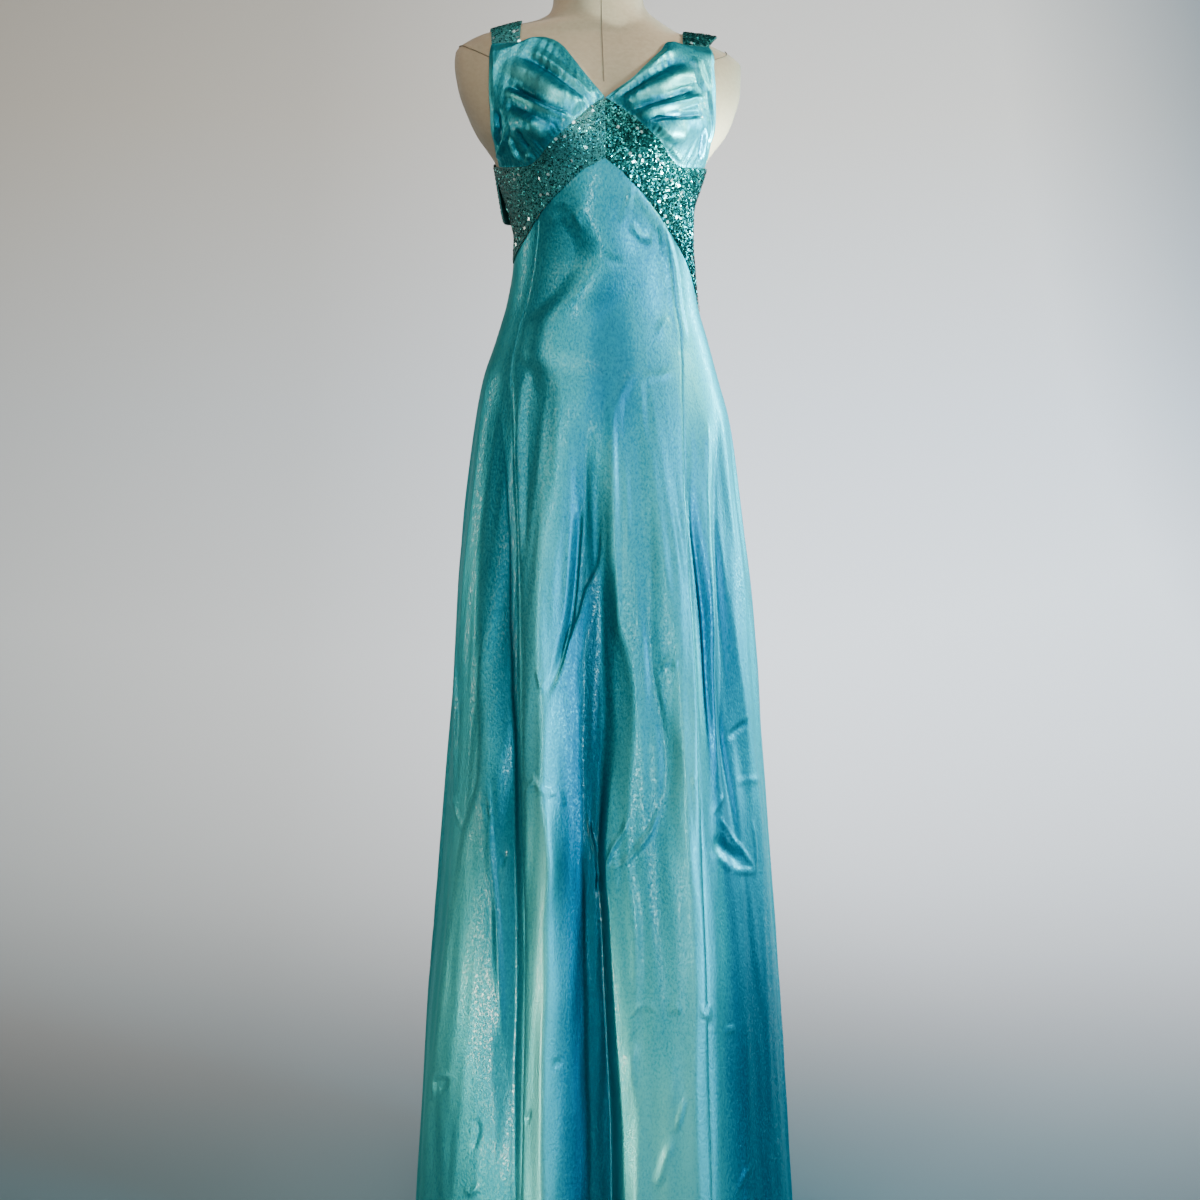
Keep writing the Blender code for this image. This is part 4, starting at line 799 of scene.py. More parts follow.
def makeCup(which):
    strap = straps[which]
    side = strap["side"]
    neckAt = edgeAt["neckline" + which.capitalize()]
    armAt = lineAt["armhole" + which.capitalize()]
    frontGap = acrossGap(frontAt(gown["chevronTopZ"]), 2.0 * gown["seamGap"])
    foot, strapZ, half = gown["armholeFoot"], gown["strapSeamZ"], 0.5 * gown["steepGap"]
    traced = tracedStrokes(cupGathers[which], bodyRadius)
    inner, outer = strap["inner"], strap["outer"]
    footZ = float(edgeAt["chevronTop"](foot)) + half

    def layer(u, v):
        bandAngle = frontGap + (foot - frontGap) * u
        band = np.stack([bandAngle, edgeAt["chevronTop"](bandAngle) + half])
        top = np.stack([inner + (outer - inner) * u, strapZ + 0.0 * u])
        neckAngle = frontGap + (inner - frontGap) * v
        neck = np.stack([neckAngle, neckAt(neckAngle) + half * (1.0 - v)])
        armZ = footZ + (strapZ - footZ) * v
        arm = np.stack([armAt(armZ), armZ])
        corners = [np.array([[frontGap], [gown["chevronTopZ"] + half]]), np.array([[foot], [footZ]]),
                   np.array([[inner], [strapZ]]), np.array([[outer], [strapZ]])]
        angle, z = ((1.0 - v) * band + v * top + (1.0 - u) * neck + u * arm
                    - (1.0 - u) * (1.0 - v) * corners[0] - u * (1.0 - v) * corners[1]
                    - (1.0 - u) * v * corners[2] - u * v * corners[3])
        free = softStep(v / cup["freeFrom"]) * softStep((1.0 - v) / cup["freeFrom"])
        freeSides = cup["sideLeast"] + (1.0 - cup["sideLeast"]) * softStep(
            u / cup["freeBeside"]) * softStep((1.0 - u) / cup["freeFrom"])
        gather = strokeOffset(side * angle, z, traced) + waver(angle, z, *cup["waves"])
        fullness = cup["standOff"] + np.maximum(gather, -cup["standOff"] + cup["clear"])
        puckers = (cup["puckerDepth"]
                   * np.sin(u * cup["puckerTurns"] + cup["puckerSway"] * np.sin(u * cup["swayTurns"]))
                   * softStep(1.0 - v / cup["puckerTop"]) * softStep(v / cup["puckerFoot"]))
        # the turned edges
        folded = softStep(1.0 - u / cup["edgeWidth"]) + softStep(1.0 - (1.0 - u) / cup["edgeWidth"])
        lift = free * freeSides * fullness + puckers - cup["edgeDepth"] * folded * (1.0 - 0.5 * v)
        return pointOn(bodyRadius, side * angle, z, lift)

    # painted shade: the gathers' valleys darken the satin's colour and their ridges lighten it
    def depth(angle, z):
        return np.clip(strokeOffset(angle, z, traced) / cup["shadeFullDepth"], -1.0, 1.0)

    name = "bodice_cup_" + which
    return layCloth(name, cup["columns"], cup["rows"], layer, name, cup["wall"], depth)


# the sequins sewn on their ground, in metres and degrees
sequin = dict(spacing=0.0023, rowStep=0.866, edge=0.4, radius=0.0015, sizes=(0.85, 1.1), bigSize=1.5,
              corners=6, lift=0.0007, pile=0.0006, bigLift=0.0008, tilt=14.0, bigGlint=0.004, stray=0.35,
              fewest=0.25, seed=5)


def sewSequins(name, layer, node):
    rng = np.random.default_rng(sequin["seed"] + len(name))
    u, v = np.meshgrid(np.linspace(0.01, 0.99, 41), np.linspace(0.02, 0.98, 21))
    grid = layer(u.ravel(), v.ravel()).reshape(*u.shape, 3)
    wide = np.linalg.norm(np.diff(grid, axis=1), axis=2).sum(axis=1).max()
    tall = np.linalg.norm(np.diff(grid, axis=0), axis=2).sum(axis=0).max()
    columns, rows = int(wide / sequin["spacing"]), int(tall / (sequin["rowStep"] * sequin["spacing"]))
    u, v = np.meshgrid((np.arange(columns) + 0.5) / columns, (np.arange(rows) + 0.5) / rows)
    u = u + 0.5 / columns * (np.arange(rows) % 2)[:, None]
    u, v = u.ravel(), v.ravel()
    stray = sequin["stray"]
    u = u + rng.uniform(-stray, stray, u.shape) / columns
    v = v + rng.uniform(-stray, stray, v.shape) / rows
    edgeU, edgeV = sequin["edge"] / columns, sequin["edge"] / rows
    inside = (u > edgeU) & (u < 1.0 - edgeU) & (v > edgeV) & (v < 1.0 - edgeV)
    u, v = u[inside], v[inside]
    alongU = layer(u + 0.002, v) - layer(u - 0.002, v)
    alongV = layer(u, v + 0.004) - layer(u, v - 0.004)
    # where the cloth narrows fewer sequins are sewn
    crowd = np.linalg.norm(np.cross(alongU, alongV), axis=1)
    share = np.clip(crowd / np.percentile(crowd, 60), sequin["fewest"], 1.0)
    keep = rng.uniform(0.0, 1.0, u.shape) < share
    u, v, alongU, alongV = u[keep], v[keep], alongU[keep], alongV[keep]
    normal = np.cross(alongU, alongV)
    normal /= np.linalg.norm(normal, axis=1, keepdims=True)
    place = layer(u, v)
    # every sequin faces away from the gown's axis
    normal *= np.sign((normal[:, :2] * place[:, :2]).sum(axis=1) + 1e-9)[:, None]
    count = len(u)
    lean = np.radians(rng.normal(0.0, sequin["tilt"], (count, 2)))
    first = alongU / np.linalg.norm(alongU, axis=1, keepdims=True)
    second = np.cross(normal, first)
    facing = normal + first * np.tan(lean[:, :1]) + second * np.tan(lean[:, 1:])
    facing /= np.linalg.norm(facing, axis=1, keepdims=True)
    first = first - facing * (first * facing).sum(axis=1, keepdims=True)
    first /= np.linalg.norm(first, axis=1, keepdims=True)
    second = np.cross(facing, first)
    bigGlint = rng.uniform(size=count) < sequin["bigGlint"]
    radius = sequin["radius"] * np.where(bigGlint, sequin["bigSize"], rng.uniform(*sequin["sizes"], count))
    height = sequin["lift"] + np.where(bigGlint, sequin["bigLift"], rng.uniform(0.0, sequin["pile"], count))
    centre = place + normal * height[:, None]
    corners = sequin["corners"]
    turn = np.linspace(0.0, 2.0 * math.pi, corners, endpoint=False) + rng.uniform(0, 1, (count, 1))
    ring = (centre[:, None] + radius[:, None, None] * (np.cos(turn)[..., None] * first[:, None]
                                                       + np.sin(turn)[..., None] * second[:, None]))
    mesh = bpy.data.meshes.new(name)
    faces = np.arange(count * corners).reshape(count, corners)
    mesh.from_pydata(ring.reshape(-1, 3).tolist(), [], faces.tolist())
    shade = mesh.attributes.new("shade", "FLOAT", "FACE")
    # random tone for most sequins; the big ones get 1.0, a painted glint near white
    shade.data.foreach_set("value", np.where(bigGlint, 1.0, rng.uniform(0.0, 0.9, count)))
    mesh.update()
    piece = addObject(name, mesh)
    print("sewn", count, "sequins on", node)
    return finishPiece(piece, name)


# the bands' turned edges, and how far the left back band's lower corner stands off the form
bands = dict(edgeDepth=0.0006, endWidth=0.02, sideWidth=0.05, topReach=25.0, flare=0.008)


def turnedEdges(fromEnd, v):
    return (softStep(1.0 - fromEnd / bands["endWidth"]) + softStep(1.0 - v / bands["sideWidth"])
            + softStep(1.0 - (1.0 - v) / bands["sideWidth"]))


def midriffLayer(side, lowAt):
    def layer(u, v):
        front = acrossGap(frontAt(gown["chevronTopZ"]), 2.0 * gown["seamGap"])
        angle = front + (gown["sideSeam"] - gown["seamTurn"] - front) * u
        low = lowAt(angle) + 0.5 * gown["steepGap"]
        high = edgeAt["chevronTop"](angle) - 0.5 * gown["steepGap"]
        z = low + (high - low) * v
        return pointOn(skirtBase, side * angle, z, -bands["edgeDepth"] * turnedEdges(u, v))

    return layer


def backBandLayer(side, flare):
    def layer(u, v):
        seam, start = acrossGap(backAt(gown["backTopZ"])), gown["sideSeam"]
        angle = start + (180.0 - seam - start) * u
        sideTop = edges["chevronTop"][-1][1]
        top = sideTop + (gown["backTopZ"] - sideTop) * softStep((angle - start) / bands["topReach"])
        low = gown["backLowZ"] + 0.5 * gown["seamGap"]
        z = low + (top - 0.5 * gown["seamGap"] - low) * v
        stand = flare * softStep(1.0 - v) * softStep(1.6 - u / 0.35)
        lift = stand - bands["edgeDepth"] * turnedEdges(1.0 - u, v)
        return pointOn(skirtBase, side * angle, z, lift)

    return layer


def reachOut(x, far, placeAt):
    # placeAt gives y and z at a reach: the reach at which they meet the gown's surface
    near, far = 0.0 * x, far + 0.0 * x
    for _ in range(40):
        middle = 0.5 * (near + far)
        y, z = placeAt(middle)
        inside = np.hypot(x, y) < bodyRadius(np.degrees(np.arctan2(x, -y)), z)
        near, far = np.where(inside, middle, near), np.where(inside, far, middle)
    return near


def depthOn(x, z, way):
    return reachOut(x, 0.3, lambda reach: (way * reach, z))


def strapLayer(strap):
    def layer(u, v):
        half = 0.5 * gown["seamGap"]
        seamZ, coreZ, backZ = gown["strapSeamZ"], straps["coreZ"], gown["backTopZ"]
        frontAngle = strap["side"] * (strap["inner"] + (strap["outer"] - strap["inner"]) * u)
        frontX = bodyRadius(frontAngle, seamZ) * np.sin(np.radians(frontAngle))
        offset = strap["side"] * (u - 0.5) * straps["width"]
        shoulderX, backX = strap["shoulder"] + offset, strap["back"] + offset
        start = np.arctan2(seamZ + half - coreZ, depthOn(frontX, seamZ + half, -1.0))
        end = math.pi - np.arctan2(backZ + half - coreZ, depthOn(backX, backZ + half, 1.0))
        swing = start + (end - start) * v
        over = np.clip((swing - start) / (0.5 * math.pi - start), 0.0, 1.0)
        down = softStep((swing - 0.5 * math.pi) / (end - 0.5 * math.pi))
        x = frontX + (shoulderX - frontX) * softStep(over) + (backX - shoulderX) * down

        def placeAt(reach):
            return -reach * np.cos(swing), coreZ + reach * np.sin(swing)

        y, z = placeAt(reachOut(x, 0.4, placeAt))
        lift = straps["lift"] + strap["stand"] * u * softStep(over) * (1.0 - down)
        return pointOn(bodyRadius, np.degrees(np.arctan2(x, -y)), z, lift)

    return layer


def makeSequined():
    pieces = {}
    for name, layer, columns, rows in [
            ("midriff_front_left", midriffLayer(-1.0, edgeAt["chevronLowLeft"]), 70, 30),
            ("midriff_front_right", midriffLayer(1.0, edgeAt["chevronLowRight"]), 70, 30),
            ("back_band_left", backBandLayer(-1.0, bands["flare"]), 50, 20),
            ("back_band_right", backBandLayer(1.0, 0.0), 50, 20),
            ("strap_left", strapLayer(straps["left"]), 8, 90),
            ("strap_right", strapLayer(straps["right"]), 8, 90)]:
        ground = layCloth(name, columns, rows, layer, name)
        pieces[name] = (ground, sewSequins(name + "_sequins", layer, name))
    return pieces


# the dress form is a smooth padded torso with rounded rims at its flat foot and top;
# shrink is the share of their size that the three rings next to each end keep
padding = dict(segments=144, rings=170, rim=0.004, rimRise=0.3, shrink=(0.0, 0.95, 0.985), samples=3000)


def makeTorso():
    foot, top, ringCount = form["footZ"], form["topZ"], padding["rings"]
    fine = np.linspace(foot, top, padding["samples"])
    travelled = np.concatenate([[0.0], np.cumsum(np.hypot(np.diff(leftAt(fine)), np.diff(fine)))])
    levels = np.interp(np.linspace(0.0, travelled[-1], ringCount - 5), travelled, fine)
    levels[0] += padding["rim"]
    levels[-1] -= padding["rim"]
    rise = padding["rimRise"] * padding["rim"]
    heights = np.concatenate([[foot, foot, foot + rise], levels, [top - rise, top, top]])
    shrink = np.ones(len(heights))
    shrink[:3], shrink[-3:] = padding["shrink"], padding["shrink"][::-1]
    clearSelection()
    bpy.ops.mesh.primitive_uv_sphere_add(segments=padding["segments"], ring_count=ringCount, radius=1.0)
    piece = bpy.context.object
    x, y, up = pointsOf(piece).T
    ring = np.rint(np.arccos(np.clip(-up, -1.0, 1.0)) / math.pi * ringCount).astype(int)
    angle = np.where((ring > 0) & (ring < ringCount), np.degrees(np.arctan2(x, -y)), 0.0)
    z = heights[ring]
    place = pointOn(formRadius, angle, z, -easeAt(z))
    place[:, :2] *= shrink[ring][:, None]
    level = (ring < 3) | (ring > ringCount - 3)
    place[level, 2] = z[level]
    movePoints(piece, place)
    shadeSmooth(piece, 45.0)
    return finishPiece(piece, "form_torso_linen", "form_torso")


def onForm(angle, z):
    return formRadius(angle, z) - easeAt(z)


# the thread of the form's seams, in metres
thread = dict(radius=0.0006, points=60, roundings=6)


def threadLine(name, spots):
    # a thread that lies on the form through (angle, height) spots, its corners rounded off
    shares, given = np.linspace(0, 1, thread["points"]), np.linspace(0, 1, len(spots))
    angles, heights = (np.interp(shares, given, row) for row in zip(*spots))
    for row in (angles, heights):
        for _ in range(thread["roundings"]):
            row[1:-1] = (row[:-2] + 2 * row[1:-1] + row[2:]) / 4
    places = pointOn(onForm, angles, heights, 0.0)
    line = bpy.data.curves.new(name, "CURVE")
    line.dimensions = "3D"
    line.bevel_depth = thread["radius"]
    line.bevel_resolution = 1
    line.use_fill_caps = True
    spline = line.splines.new("POLY")
    spline.points.add(len(places) - 1)
    spline.points.foreach_set("co", np.c_[places, np.ones(len(places))].ravel())
    makeActive(addObject(name, line))
    bpy.ops.object.convert(target="MESH")
    return finishPiece(bpy.context.object, name)


def makeFormSeams():
    # each cap seam runs from under the cloth up and out over the shoulder to the back
    leftCap = [surfaceAt(x, y, onForm) for x, y in [(500, 62), (490, 57), (477, 51), (464, 45)]]
    rightCap = [surfaceAt(x, y, onForm) for x, y in [(704, 64), (716, 59), (727, 55), (738, 51)]]
    seams = dict(
        form_seam_front=[(0, 1.52), (0, 1.56), (0, 1.60), (0, 1.66)],
        form_seam_back=[(180, 1.44), (180, 1.52), (180, 1.60), (180, 1.66)],
        form_cap_left=leftCap + [(-96, 1.572), (-106, 1.55), (-112, 1.50), (-114, 1.44)],
        form_cap_right=rightCap + [(97, 1.566), (107, 1.54), (113, 1.49), (115, 1.44)])
    return [threadLine(name, spots) for name, spots in seams.items()]


class Wire:
    # a socket that adds its maths nodes as it is used in an expression
    def __init__(self, tree, socket):
        self.tree, self.socket = tree, socket

    def maths(self, operation, first, second):
        node = self.tree.nodes.new("ShaderNodeMath")
        node.operation = operation
        for place, value in ((0, first), (1, second)):
            if isinstance(value, Wire):
                self.tree.links.new(value.socket, node.inputs[place])
            else:
                node.inputs[place].default_value = value
        return Wire(self.tree, node.outputs[0])

    def __add__(self, other):
        return self.maths("ADD", self, other)

    def __radd__(self, other):
        return self.maths("ADD", other, self)

    def __mul__(self, other):
        return self.maths("MULTIPLY", self, other)

    def __rmul__(self, other):
        return self.maths("MULTIPLY", other, self)

    def __truediv__(self, other):
        return self.maths("DIVIDE", self, other)

    def __rtruediv__(self, other):
        return self.maths("DIVIDE", other, self)


class Finish:
    # one material: its Principled shader and a method for every other node
    def __init__(self, name, **constants):
        self.material = bpy.data.materials.new(name)
        self.material.use_nodes = True
        self.tree = self.material.node_tree
        self.shader = self.tree.nodes["Principled BSDF"]
        for socket, value in constants.items():
            self.shader.inputs[socket.replace("_", " ")].default_value = value

    def node(self, kind, settings=None, stops=None, output=0, **sockets):
        node = self.tree.nodes.new("ShaderNode" + kind)
        for name, value in (settings or {}).items():
            setattr(node, name, value)
        if stops:
            ramp = node.color_ramp
            while len(ramp.elements) < len(stops):
                ramp.elements.new(0.5)
            for element, (position, colour) in zip(ramp.elements, stops):
                element.position, element.color = position, colour
        for name, value in sockets.items():
            key = int(name[1:]) if name[0] == "_" and name[1:].isdigit() else name.replace("_", " ")
            if isinstance(value, Wire):
                self.tree.links.new(value.socket, node.inputs[key])
            else:
                node.inputs[key].default_value = value
        return Wire(self.tree, node.outputs[output])

    def place(self, x=1.0, y=1.0, z=1.0):
        spot = self.node("TexCoord", output=3)
        return self.node("Mapping", Vector=spot, Scale=(x, y, z))

    def noise(self, place, scale, detail=2.0, roughness=0.5):
        return self.node("TexNoise", Vector=place, Scale=scale, Detail=detail, Roughness=roughness)

    def colours(self, factor, stops):
        return self.node("ValToRGB", stops=[(p, (*c, 1.0)) for p, c in stops], Fac=factor)

    def multiplied(self, first, second):
        return self.node("Mix", {"data_type": "RGBA", "blend_type": "MULTIPLY"}, _0=1.0, _6=first, _7=second,
                         output=2)

    def mixed(self, factor, first, second):
        return self.node("Mix", {"data_type": "RGBA"}, _0=factor, _6=first, _7=second, output=2)

    def feed(self, socket, wire):
        self.tree.links.new(wire.socket, self.shader.inputs[socket])

    def bump(self, height, strength, distance):
        self.feed("Normal", self.node("Bump", Height=height, Strength=strength, Distance=distance))

    def onto(self, *pieces):
        for piece in pieces:
            piece.data.materials.clear()
            piece.data.materials.append(self.material)


satinLook = dict(metallic=0.85, gloss=2.3, tint=(0.32, 1.0, 0.94, 1.0), roughness=0.40, blotches=5.0,
                 grain=420.0, grainDepth=0.0008, grainRoughness=0.12, sparkleRoughness=0.2,
                 sparkleGloss=1.7, sparkleTint=(0.6, 1.0, 0.97, 1.0),
                 sparkle=[(0.52, (0.02, 0.02, 0.02)), (0.72, (0.7, 0.7, 0.7))],
                 foldShadeShare=0.30, toneShare=0.25, grainShare=0.45, start=0.16, tones=[
                     # from the bottom of a fold, in painted shade, to its crest, painted lighter
                     (0.18, (0.0, 0.06, 0.11)), (0.42, (0.0, 0.15, 0.21)), (0.60, (0.028, 0.27, 0.295)),
                     (0.85, (0.10, 0.43, 0.42))])


def makeSatin():
    satin = Finish("aqua_satin", Metallic=satinLook["metallic"], IOR=satinLook["gloss"],
                   Specular_Tint=satinLook["tint"], Coat_Roughness=satinLook["sparkleRoughness"],
                   Coat_IOR=satinLook["sparkleGloss"], Coat_Tint=satinLook["sparkleTint"])
    fold = satin.node("Attribute", {"attribute_name": "fold", "attribute_type": "GEOMETRY"}, output=2)
    tone = satin.noise(satin.place(), satinLook["blotches"], 3.0)
    grain = satin.noise(satin.place(1.0, 1.0, 0.6), satinLook["grain"], 1.5, 0.6)
    # painted shade and highlight: the fold attribute darkens the hollows and lightens the crests, mixed with
    # random tone and grain
    shade = (fold * satinLook["foldShadeShare"] + tone * satinLook["toneShare"]
             + grain * satinLook["grainShare"] + satinLook["start"])
    satin.feed("Base Color", satin.colours(shade, satinLook["tones"]))
    satin.feed("Roughness", grain * satinLook["grainRoughness"] + satinLook["roughness"])
    satin.feed("Coat Weight", satin.colours(grain, satinLook["sparkle"]))
    satin.bump(grain, 0.5, satinLook["grainDepth"])
    return satin


# the shades run from the darkest sequin to the big ones, painted near white as glints
sequinLook = dict(metallic=0.85, roughness=0.12, roughnessSpread=0.18, shades=[
    (0.0, (0.002, 0.04, 0.04)), (0.45, (0.006, 0.10, 0.095)), (0.8, (0.015, 0.20, 0.185)),
    (0.90, (0.07, 0.36, 0.33)), (1.0, (0.78, 0.98, 0.93))])


def makeSequinFinish():
    shine = Finish("teal_sequins", Metallic=sequinLook["metallic"])
    shade = shine.node("Attribute", {"attribute_name": "shade", "attribute_type": "GEOMETRY"}, output=2)
    shine.feed("Base Color", shine.colours(shade, sequinLook["shades"]))
    shine.feed("Roughness", shade * sequinLook["roughnessSpread"] + sequinLook["roughness"])
    return shine


groundLook = dict(metallic=0.1, roughness=0.6, net=900.0, relief=0.0004,
                  tones=[(0.35, (0.006, 0.07, 0.066)), (0.65, (0.02, 0.15, 0.14))])


def makeGround():
    ground = Finish("teal_mesh_ground", Metallic=groundLook["metallic"], Roughness=groundLook["roughness"])
    net = ground.noise(ground.place(), groundLook["net"], 1.0)
    ground.feed("Base Color", ground.colours(net, groundLook["tones"]))
    ground.bump(net, 0.4, groundLook["relief"])
    return ground


linenLook = dict(roughness=0.85, sheen=0.2, gloss=0.25, threads=330.0, unevenness=2.5, slubs=160.0,
                 blotches=7.0, relief=0.0004,
                 tones=[(0.30, (0.265, 0.185, 0.112)), (0.70, (0.36, 0.262, 0.166))])


def makeLinen():
    linen = Finish("natural_linen", Roughness=linenLook["roughness"], Sheen_Weight=linenLook["sheen"],
                   Specular_IOR_Level=linenLook["gloss"])
    along, across = (
        linen.node("TexWave", {"wave_type": "BANDS", "bands_direction": way}, Vector=linen.place(),
                   Scale=linenLook["threads"], Distortion=linenLook["unevenness"], Detail=2.0, output=1)
        for way in "ZX")
    slubs = linen.noise(linen.place(1.0, 1.0, 1.6), linenLook["slubs"], 3.0)
    tone = linen.noise(linen.place(), linenLook["blotches"], 4.0)
    linen.feed("Base Color", linen.colours(tone * 0.6 + slubs * 0.4, linenLook["tones"]))
    linen.bump(along * 0.5 + across * 0.5 + slubs * 0.4, 0.25, linenLook["relief"])
    return linen


steelLook = dict(streaks=400.0, drawnOut=0.02, roughness=0.25, roughnessSpread=0.2, relief=0.0003,
                 tones=[(0.3, (0.48, 0.48, 0.49)), (0.7, (0.62, 0.62, 0.63))])


def makeSteel():
    steel = Finish("brushed_steel", Metallic=1.0)
    streak = steel.noise(steel.place(1.0, 1.0, steelLook["drawnOut"]), steelLook["streaks"], 3.0)
    steel.feed("Base Color", steel.colours(streak, steelLook["tones"]))
    steel.feed("Roughness", streak * steelLook["roughnessSpread"] + steelLook["roughness"])
    steel.bump(streak, 0.1, steelLook["relief"])
    return steel


# the room: a floor that curves up into a wall all round, in metres; its colour is painted light and shade:
# the wall is pale behind the gown and dark in front of it
room = dict(flat=2.0, wall=6.6, top=5.2, bend=20, steps=96, tones=[
    # place from front to back, 0 to 1: painted shade in front, paler behind
    (0.20, (0.17, 0.17, 0.175)), (0.40, (0.26, 0.26, 0.27)), (0.53, (0.38, 0.38, 0.38)),
    (0.64, (0.56, 0.56, 0.56)), (0.78, (0.88, 0.88, 0.88))],
    # from left to right: darker at the left, a painted cool window light on the right and painted shade past
    # it
    sideLightAndShade=[(0.16, (0.26, 0.26, 0.26)), (0.36, (0.50, 0.50, 0.48)), (0.46, (0.55, 0.57, 0.575)),
           (0.56, (0.80, 0.87, 0.95)), (0.645, (0.80, 0.90, 1.0)), (0.72, (0.05, 0.14, 0.24))],
    # and from the floor up: painted light, cooler low down and warmer at the top
    shades=[(0.0, (1.0, 1.0, 1.0)), (0.20, (0.95, 0.975, 1.0)), (0.40, (1.0, 0.92, 0.82))],
    # the floor in front of the gown, and how far it stays pale, in metres
    pale=(0.60, 0.60, 0.59), near=(1.4, 3.2), front=(-0.4, 0.0))


def makeRoom():
    profile = [(0.0, 0.0)]
    for k in range(room["bend"] + 1):
        turn = math.radians(90.0 * k / room["bend"])
        profile.append((room["flat"] + (room["wall"] - room["flat"]) * math.sin(turn),
                        room["top"] * (1.0 - math.cos(turn))))
    mesh = bpy.data.meshes.new("room")
    mesh.from_pydata([(r, 0.0, z) for r, z in profile], [(k, k + 1) for k in range(len(profile) - 1)], [])
    piece = addObject("room", mesh)
    makeActive(piece)
    spin = piece.modifiers.new("spin", "SCREW")
    spin.steps = spin.render_steps = room["steps"]
    spin.use_merge_vertices = True
    spin.merge_threshold = 0.0001
    bpy.ops.object.modifier_apply(modifier=spin.name)
    shadeSmooth(piece, 60.0)
    paint = Finish("pale_room", Roughness=0.95, Specular_IOR_Level=0.1)
    spot = paint.node("TexCoord", output=3)
    aside = paint.node("SeparateXYZ", Vector=spot, output=0) / (2.0 * room["wall"]) + 0.5
    behind = paint.node("SeparateXYZ", Vector=spot, output=1) / (2.0 * room["wall"]) + 0.5
    above = paint.node("SeparateXYZ", Vector=spot, output=2) / room["top"]
    # the wall's painted light and shade: front to back, left to right and floor up
    sideways = paint.multiplied(paint.colours(aside, room["sideLightAndShade"]), paint.colours(above, room["shades"]))
    painted = paint.multiplied(paint.colours(behind, room["tones"]), sideways)
    reach = paint.node("VectorMath", {"operation": "LENGTH"}, Vector=spot, output=1) / room["wall"]
    near, far = room["near"]
    front, back = room["front"]
    white, black = (1.0, 1.0, 1.0), (0.0, 0.0, 0.0)
    isNear = paint.colours(reach, [(near / room["wall"], white), (far / room["wall"], black)])
    isFront = paint.colours(behind, [(0.5 + front / (2.0 * room["wall"]), white),
                                     (0.5 + back / (2.0 * room["wall"]), black)])
    paint.feed("Base Color", paint.mixed(paint.multiplied(isNear, isFront), painted, (*room["pale"], 1.0)))
    paint.onto(piece)
    clearSelection()


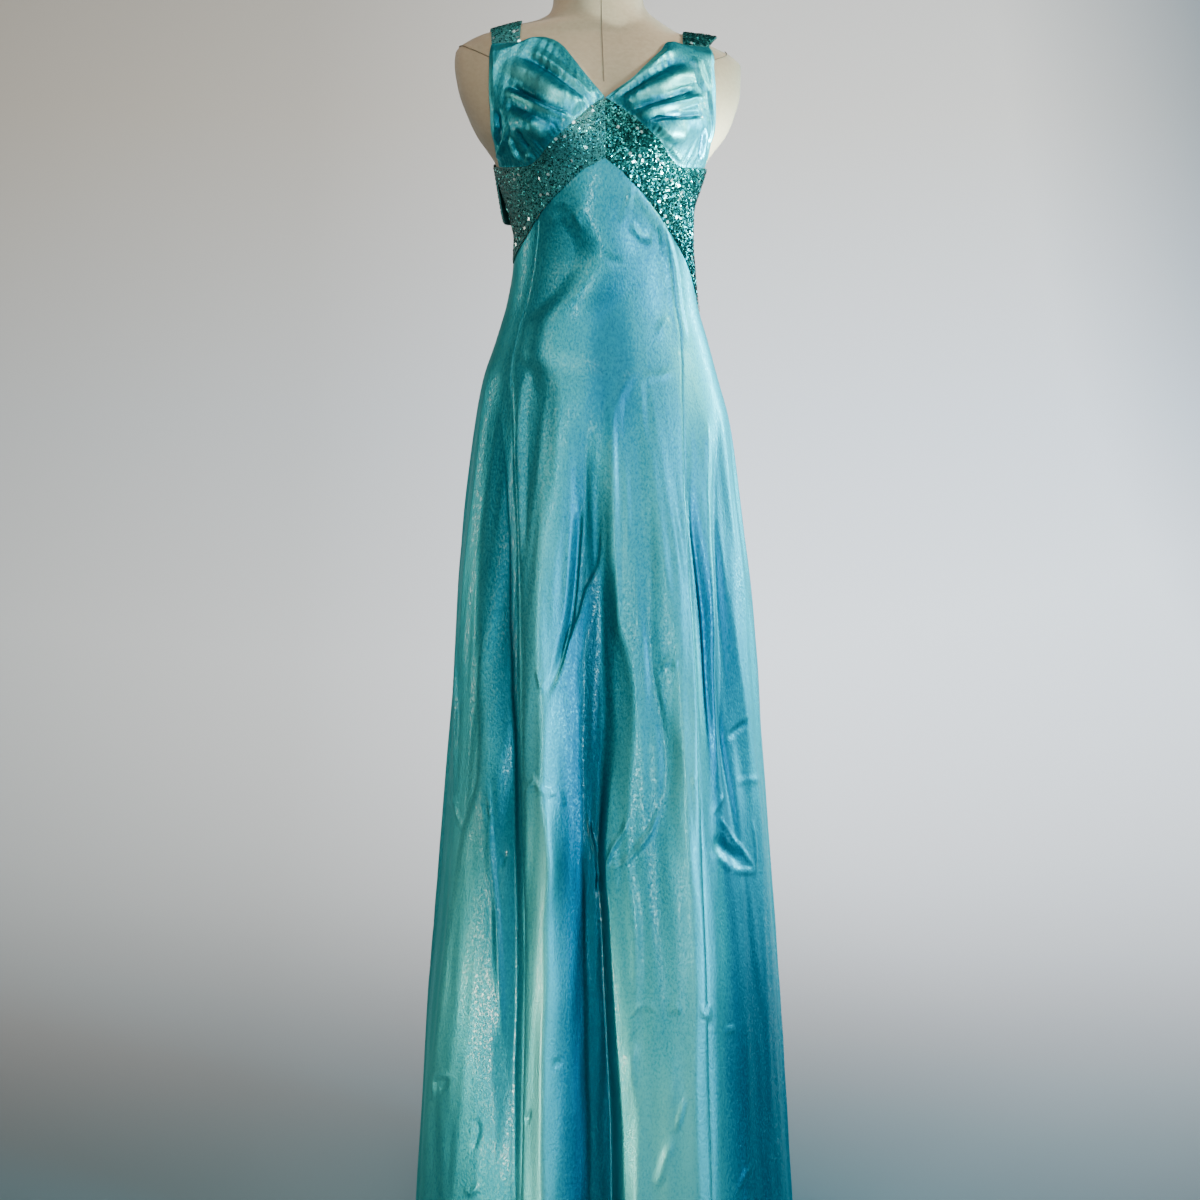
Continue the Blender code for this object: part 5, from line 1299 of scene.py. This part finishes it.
lights = [
    # azimuth from the gown's front, + to the right; height of its middle above the floor; power in watts
    dict(name="key_left", azimuth=-38.0, height=2.1, distance=3.3, size=(1.5, 1.5), power=20.0, spread=180.0,
         colour=(1.0, 0.95, 0.84), aim=(0.0, 0.0, 1.2)),
    dict(name="low_left", azimuth=-52.0, height=0.13, distance=2.0, size=(0.9, 0.2), power=1.6, spread=30.0,
         colour=(1.0, 0.84, 0.66), aim=(0.0, 0.0, 0.20)),
    dict(name="rim_left", azimuth=-112.0, height=1.3, distance=3.2, size=(0.6, 1.4), power=2.6, spread=60.0,
         colour=(1.0, 0.92, 0.80), aim=(0.0, 0.0, 1.2)),
    dict(name="front", azimuth=-1.0, height=0.95, distance=3.3, size=(0.36, 1.1), power=4.4, spread=60.0,
         colour=(0.50, 0.95, 1.0), aim=(0.0, 0.0, 1.1)),
    dict(name="window_right", azimuth=46.0, height=0.9, distance=3.4, size=(0.55, 2.2), power=9.0,
         spread=34.0, colour=(0.02, 0.70, 1.0), aim=(0.0, 0.0, 0.50)),
    dict(name="rim_right", azimuth=114.0, height=1.65, distance=3.4, size=(0.6, 1.6), power=13.0, spread=34.0,
         colour=(0.12, 0.86, 1.0), aim=(0.0, 0.0, 0.85)),
    dict(name="shoulder_right", azimuth=80.0, height=2.9, distance=3.0, size=(0.8, 0.8), power=4.6,
         spread=10.0, colour=(1.0, 0.86, 0.70), aim=(0.15, 0.0, 1.60)),
    dict(name="bust_fill", azimuth=58.0, height=0.5, distance=1.3, size=(0.16, 0.08), power=1.0, spread=7.0,
         colour=(0.75, 1.0, 0.97), aim=(0.10, -0.05, 1.465)),
    dict(name="ceiling", azimuth=-8.0, height=3.4, distance=2.3, size=(2.8, 1.6), power=30.0, spread=100.0,
         colour=(1.0, 0.98, 0.94), aim=(0.0, 0.0, 1.55)),
    dict(name="wall_wash", azimuth=150.0, height=2.9, distance=1.6, size=(3.0, 1.6), power=310.0,
         spread=180.0, colour=(1.0, 0.98, 0.96), aim=(1.8, 5.0, 0.9)),
]
# the air's own faint light
air = dict(colour=(0.72, 0.82, 0.92, 1.0), strength=0.08)


def makeLights():
    for row in lights:
        lamp = bpy.data.lights.new(row["name"], "AREA")
        lamp.shape = "RECTANGLE"
        lamp.size, lamp.size_y = row["size"]
        lamp.energy = row["power"]
        lamp.color = row["colour"]
        lamp.spread = math.radians(row["spread"])
        turn = math.radians(row["azimuth"])
        light = addObject(row["name"], lamp)
        light.location = (row["distance"] * math.sin(turn), -row["distance"] * math.cos(turn), row["height"])
        light.rotation_euler = (Vector(row["aim"]) - light.location).to_track_quat("-Z", "Y").to_euler()
        light.visible_camera = False
    world = bpy.data.worlds.new("room_air")
    bpy.context.scene.world = world
    world.use_nodes = True
    background = world.node_tree.nodes["Background"]
    background.inputs["Color"].default_value = air["colour"]
    background.inputs["Strength"].default_value = air["strength"]


skirt = makeSkirt()
print("skirt made")
cups = [makeCup("left"), makeCup("right")]
sequined = makeSequined()
print("bodice made")
torso = makeTorso()
formSeams = makeFormSeams()
print("dress form made")

satin = makeSatin()
satin.onto(*skirt.values(), *cups)
shine, ground = makeSequinFinish(), makeGround()
for cloth, sequins in sequined.values():
    ground.onto(cloth)
    shine.onto(sequins)
linen, steel = makeLinen(), makeSteel()
linen.onto(torso)
threadFinish = Finish("linen_thread", Base_Color=(0.17, 0.12, 0.075, 1.0), Roughness=0.8)
threadFinish.onto(*formSeams)
steel.onto(*(bpy.data.objects[node] for node in ("form_pole", "form_socket", "form_base")))
print("finishes given")


# the cut of each piece before it was sewn: width and length in metres
for name, flat in dict(midriff_front_left=(0.20, 0.13), midriff_front_right=(0.20, 0.19),
                       back_band_left=(0.22, 0.09), back_band_right=(0.22, 0.09),
                       strap_left=(0.045, 0.26), strap_right=(0.045, 0.26)).items():
    cloth, sequins = sequined[name]

makeRoom()
makeLights()
print("room and lights made")
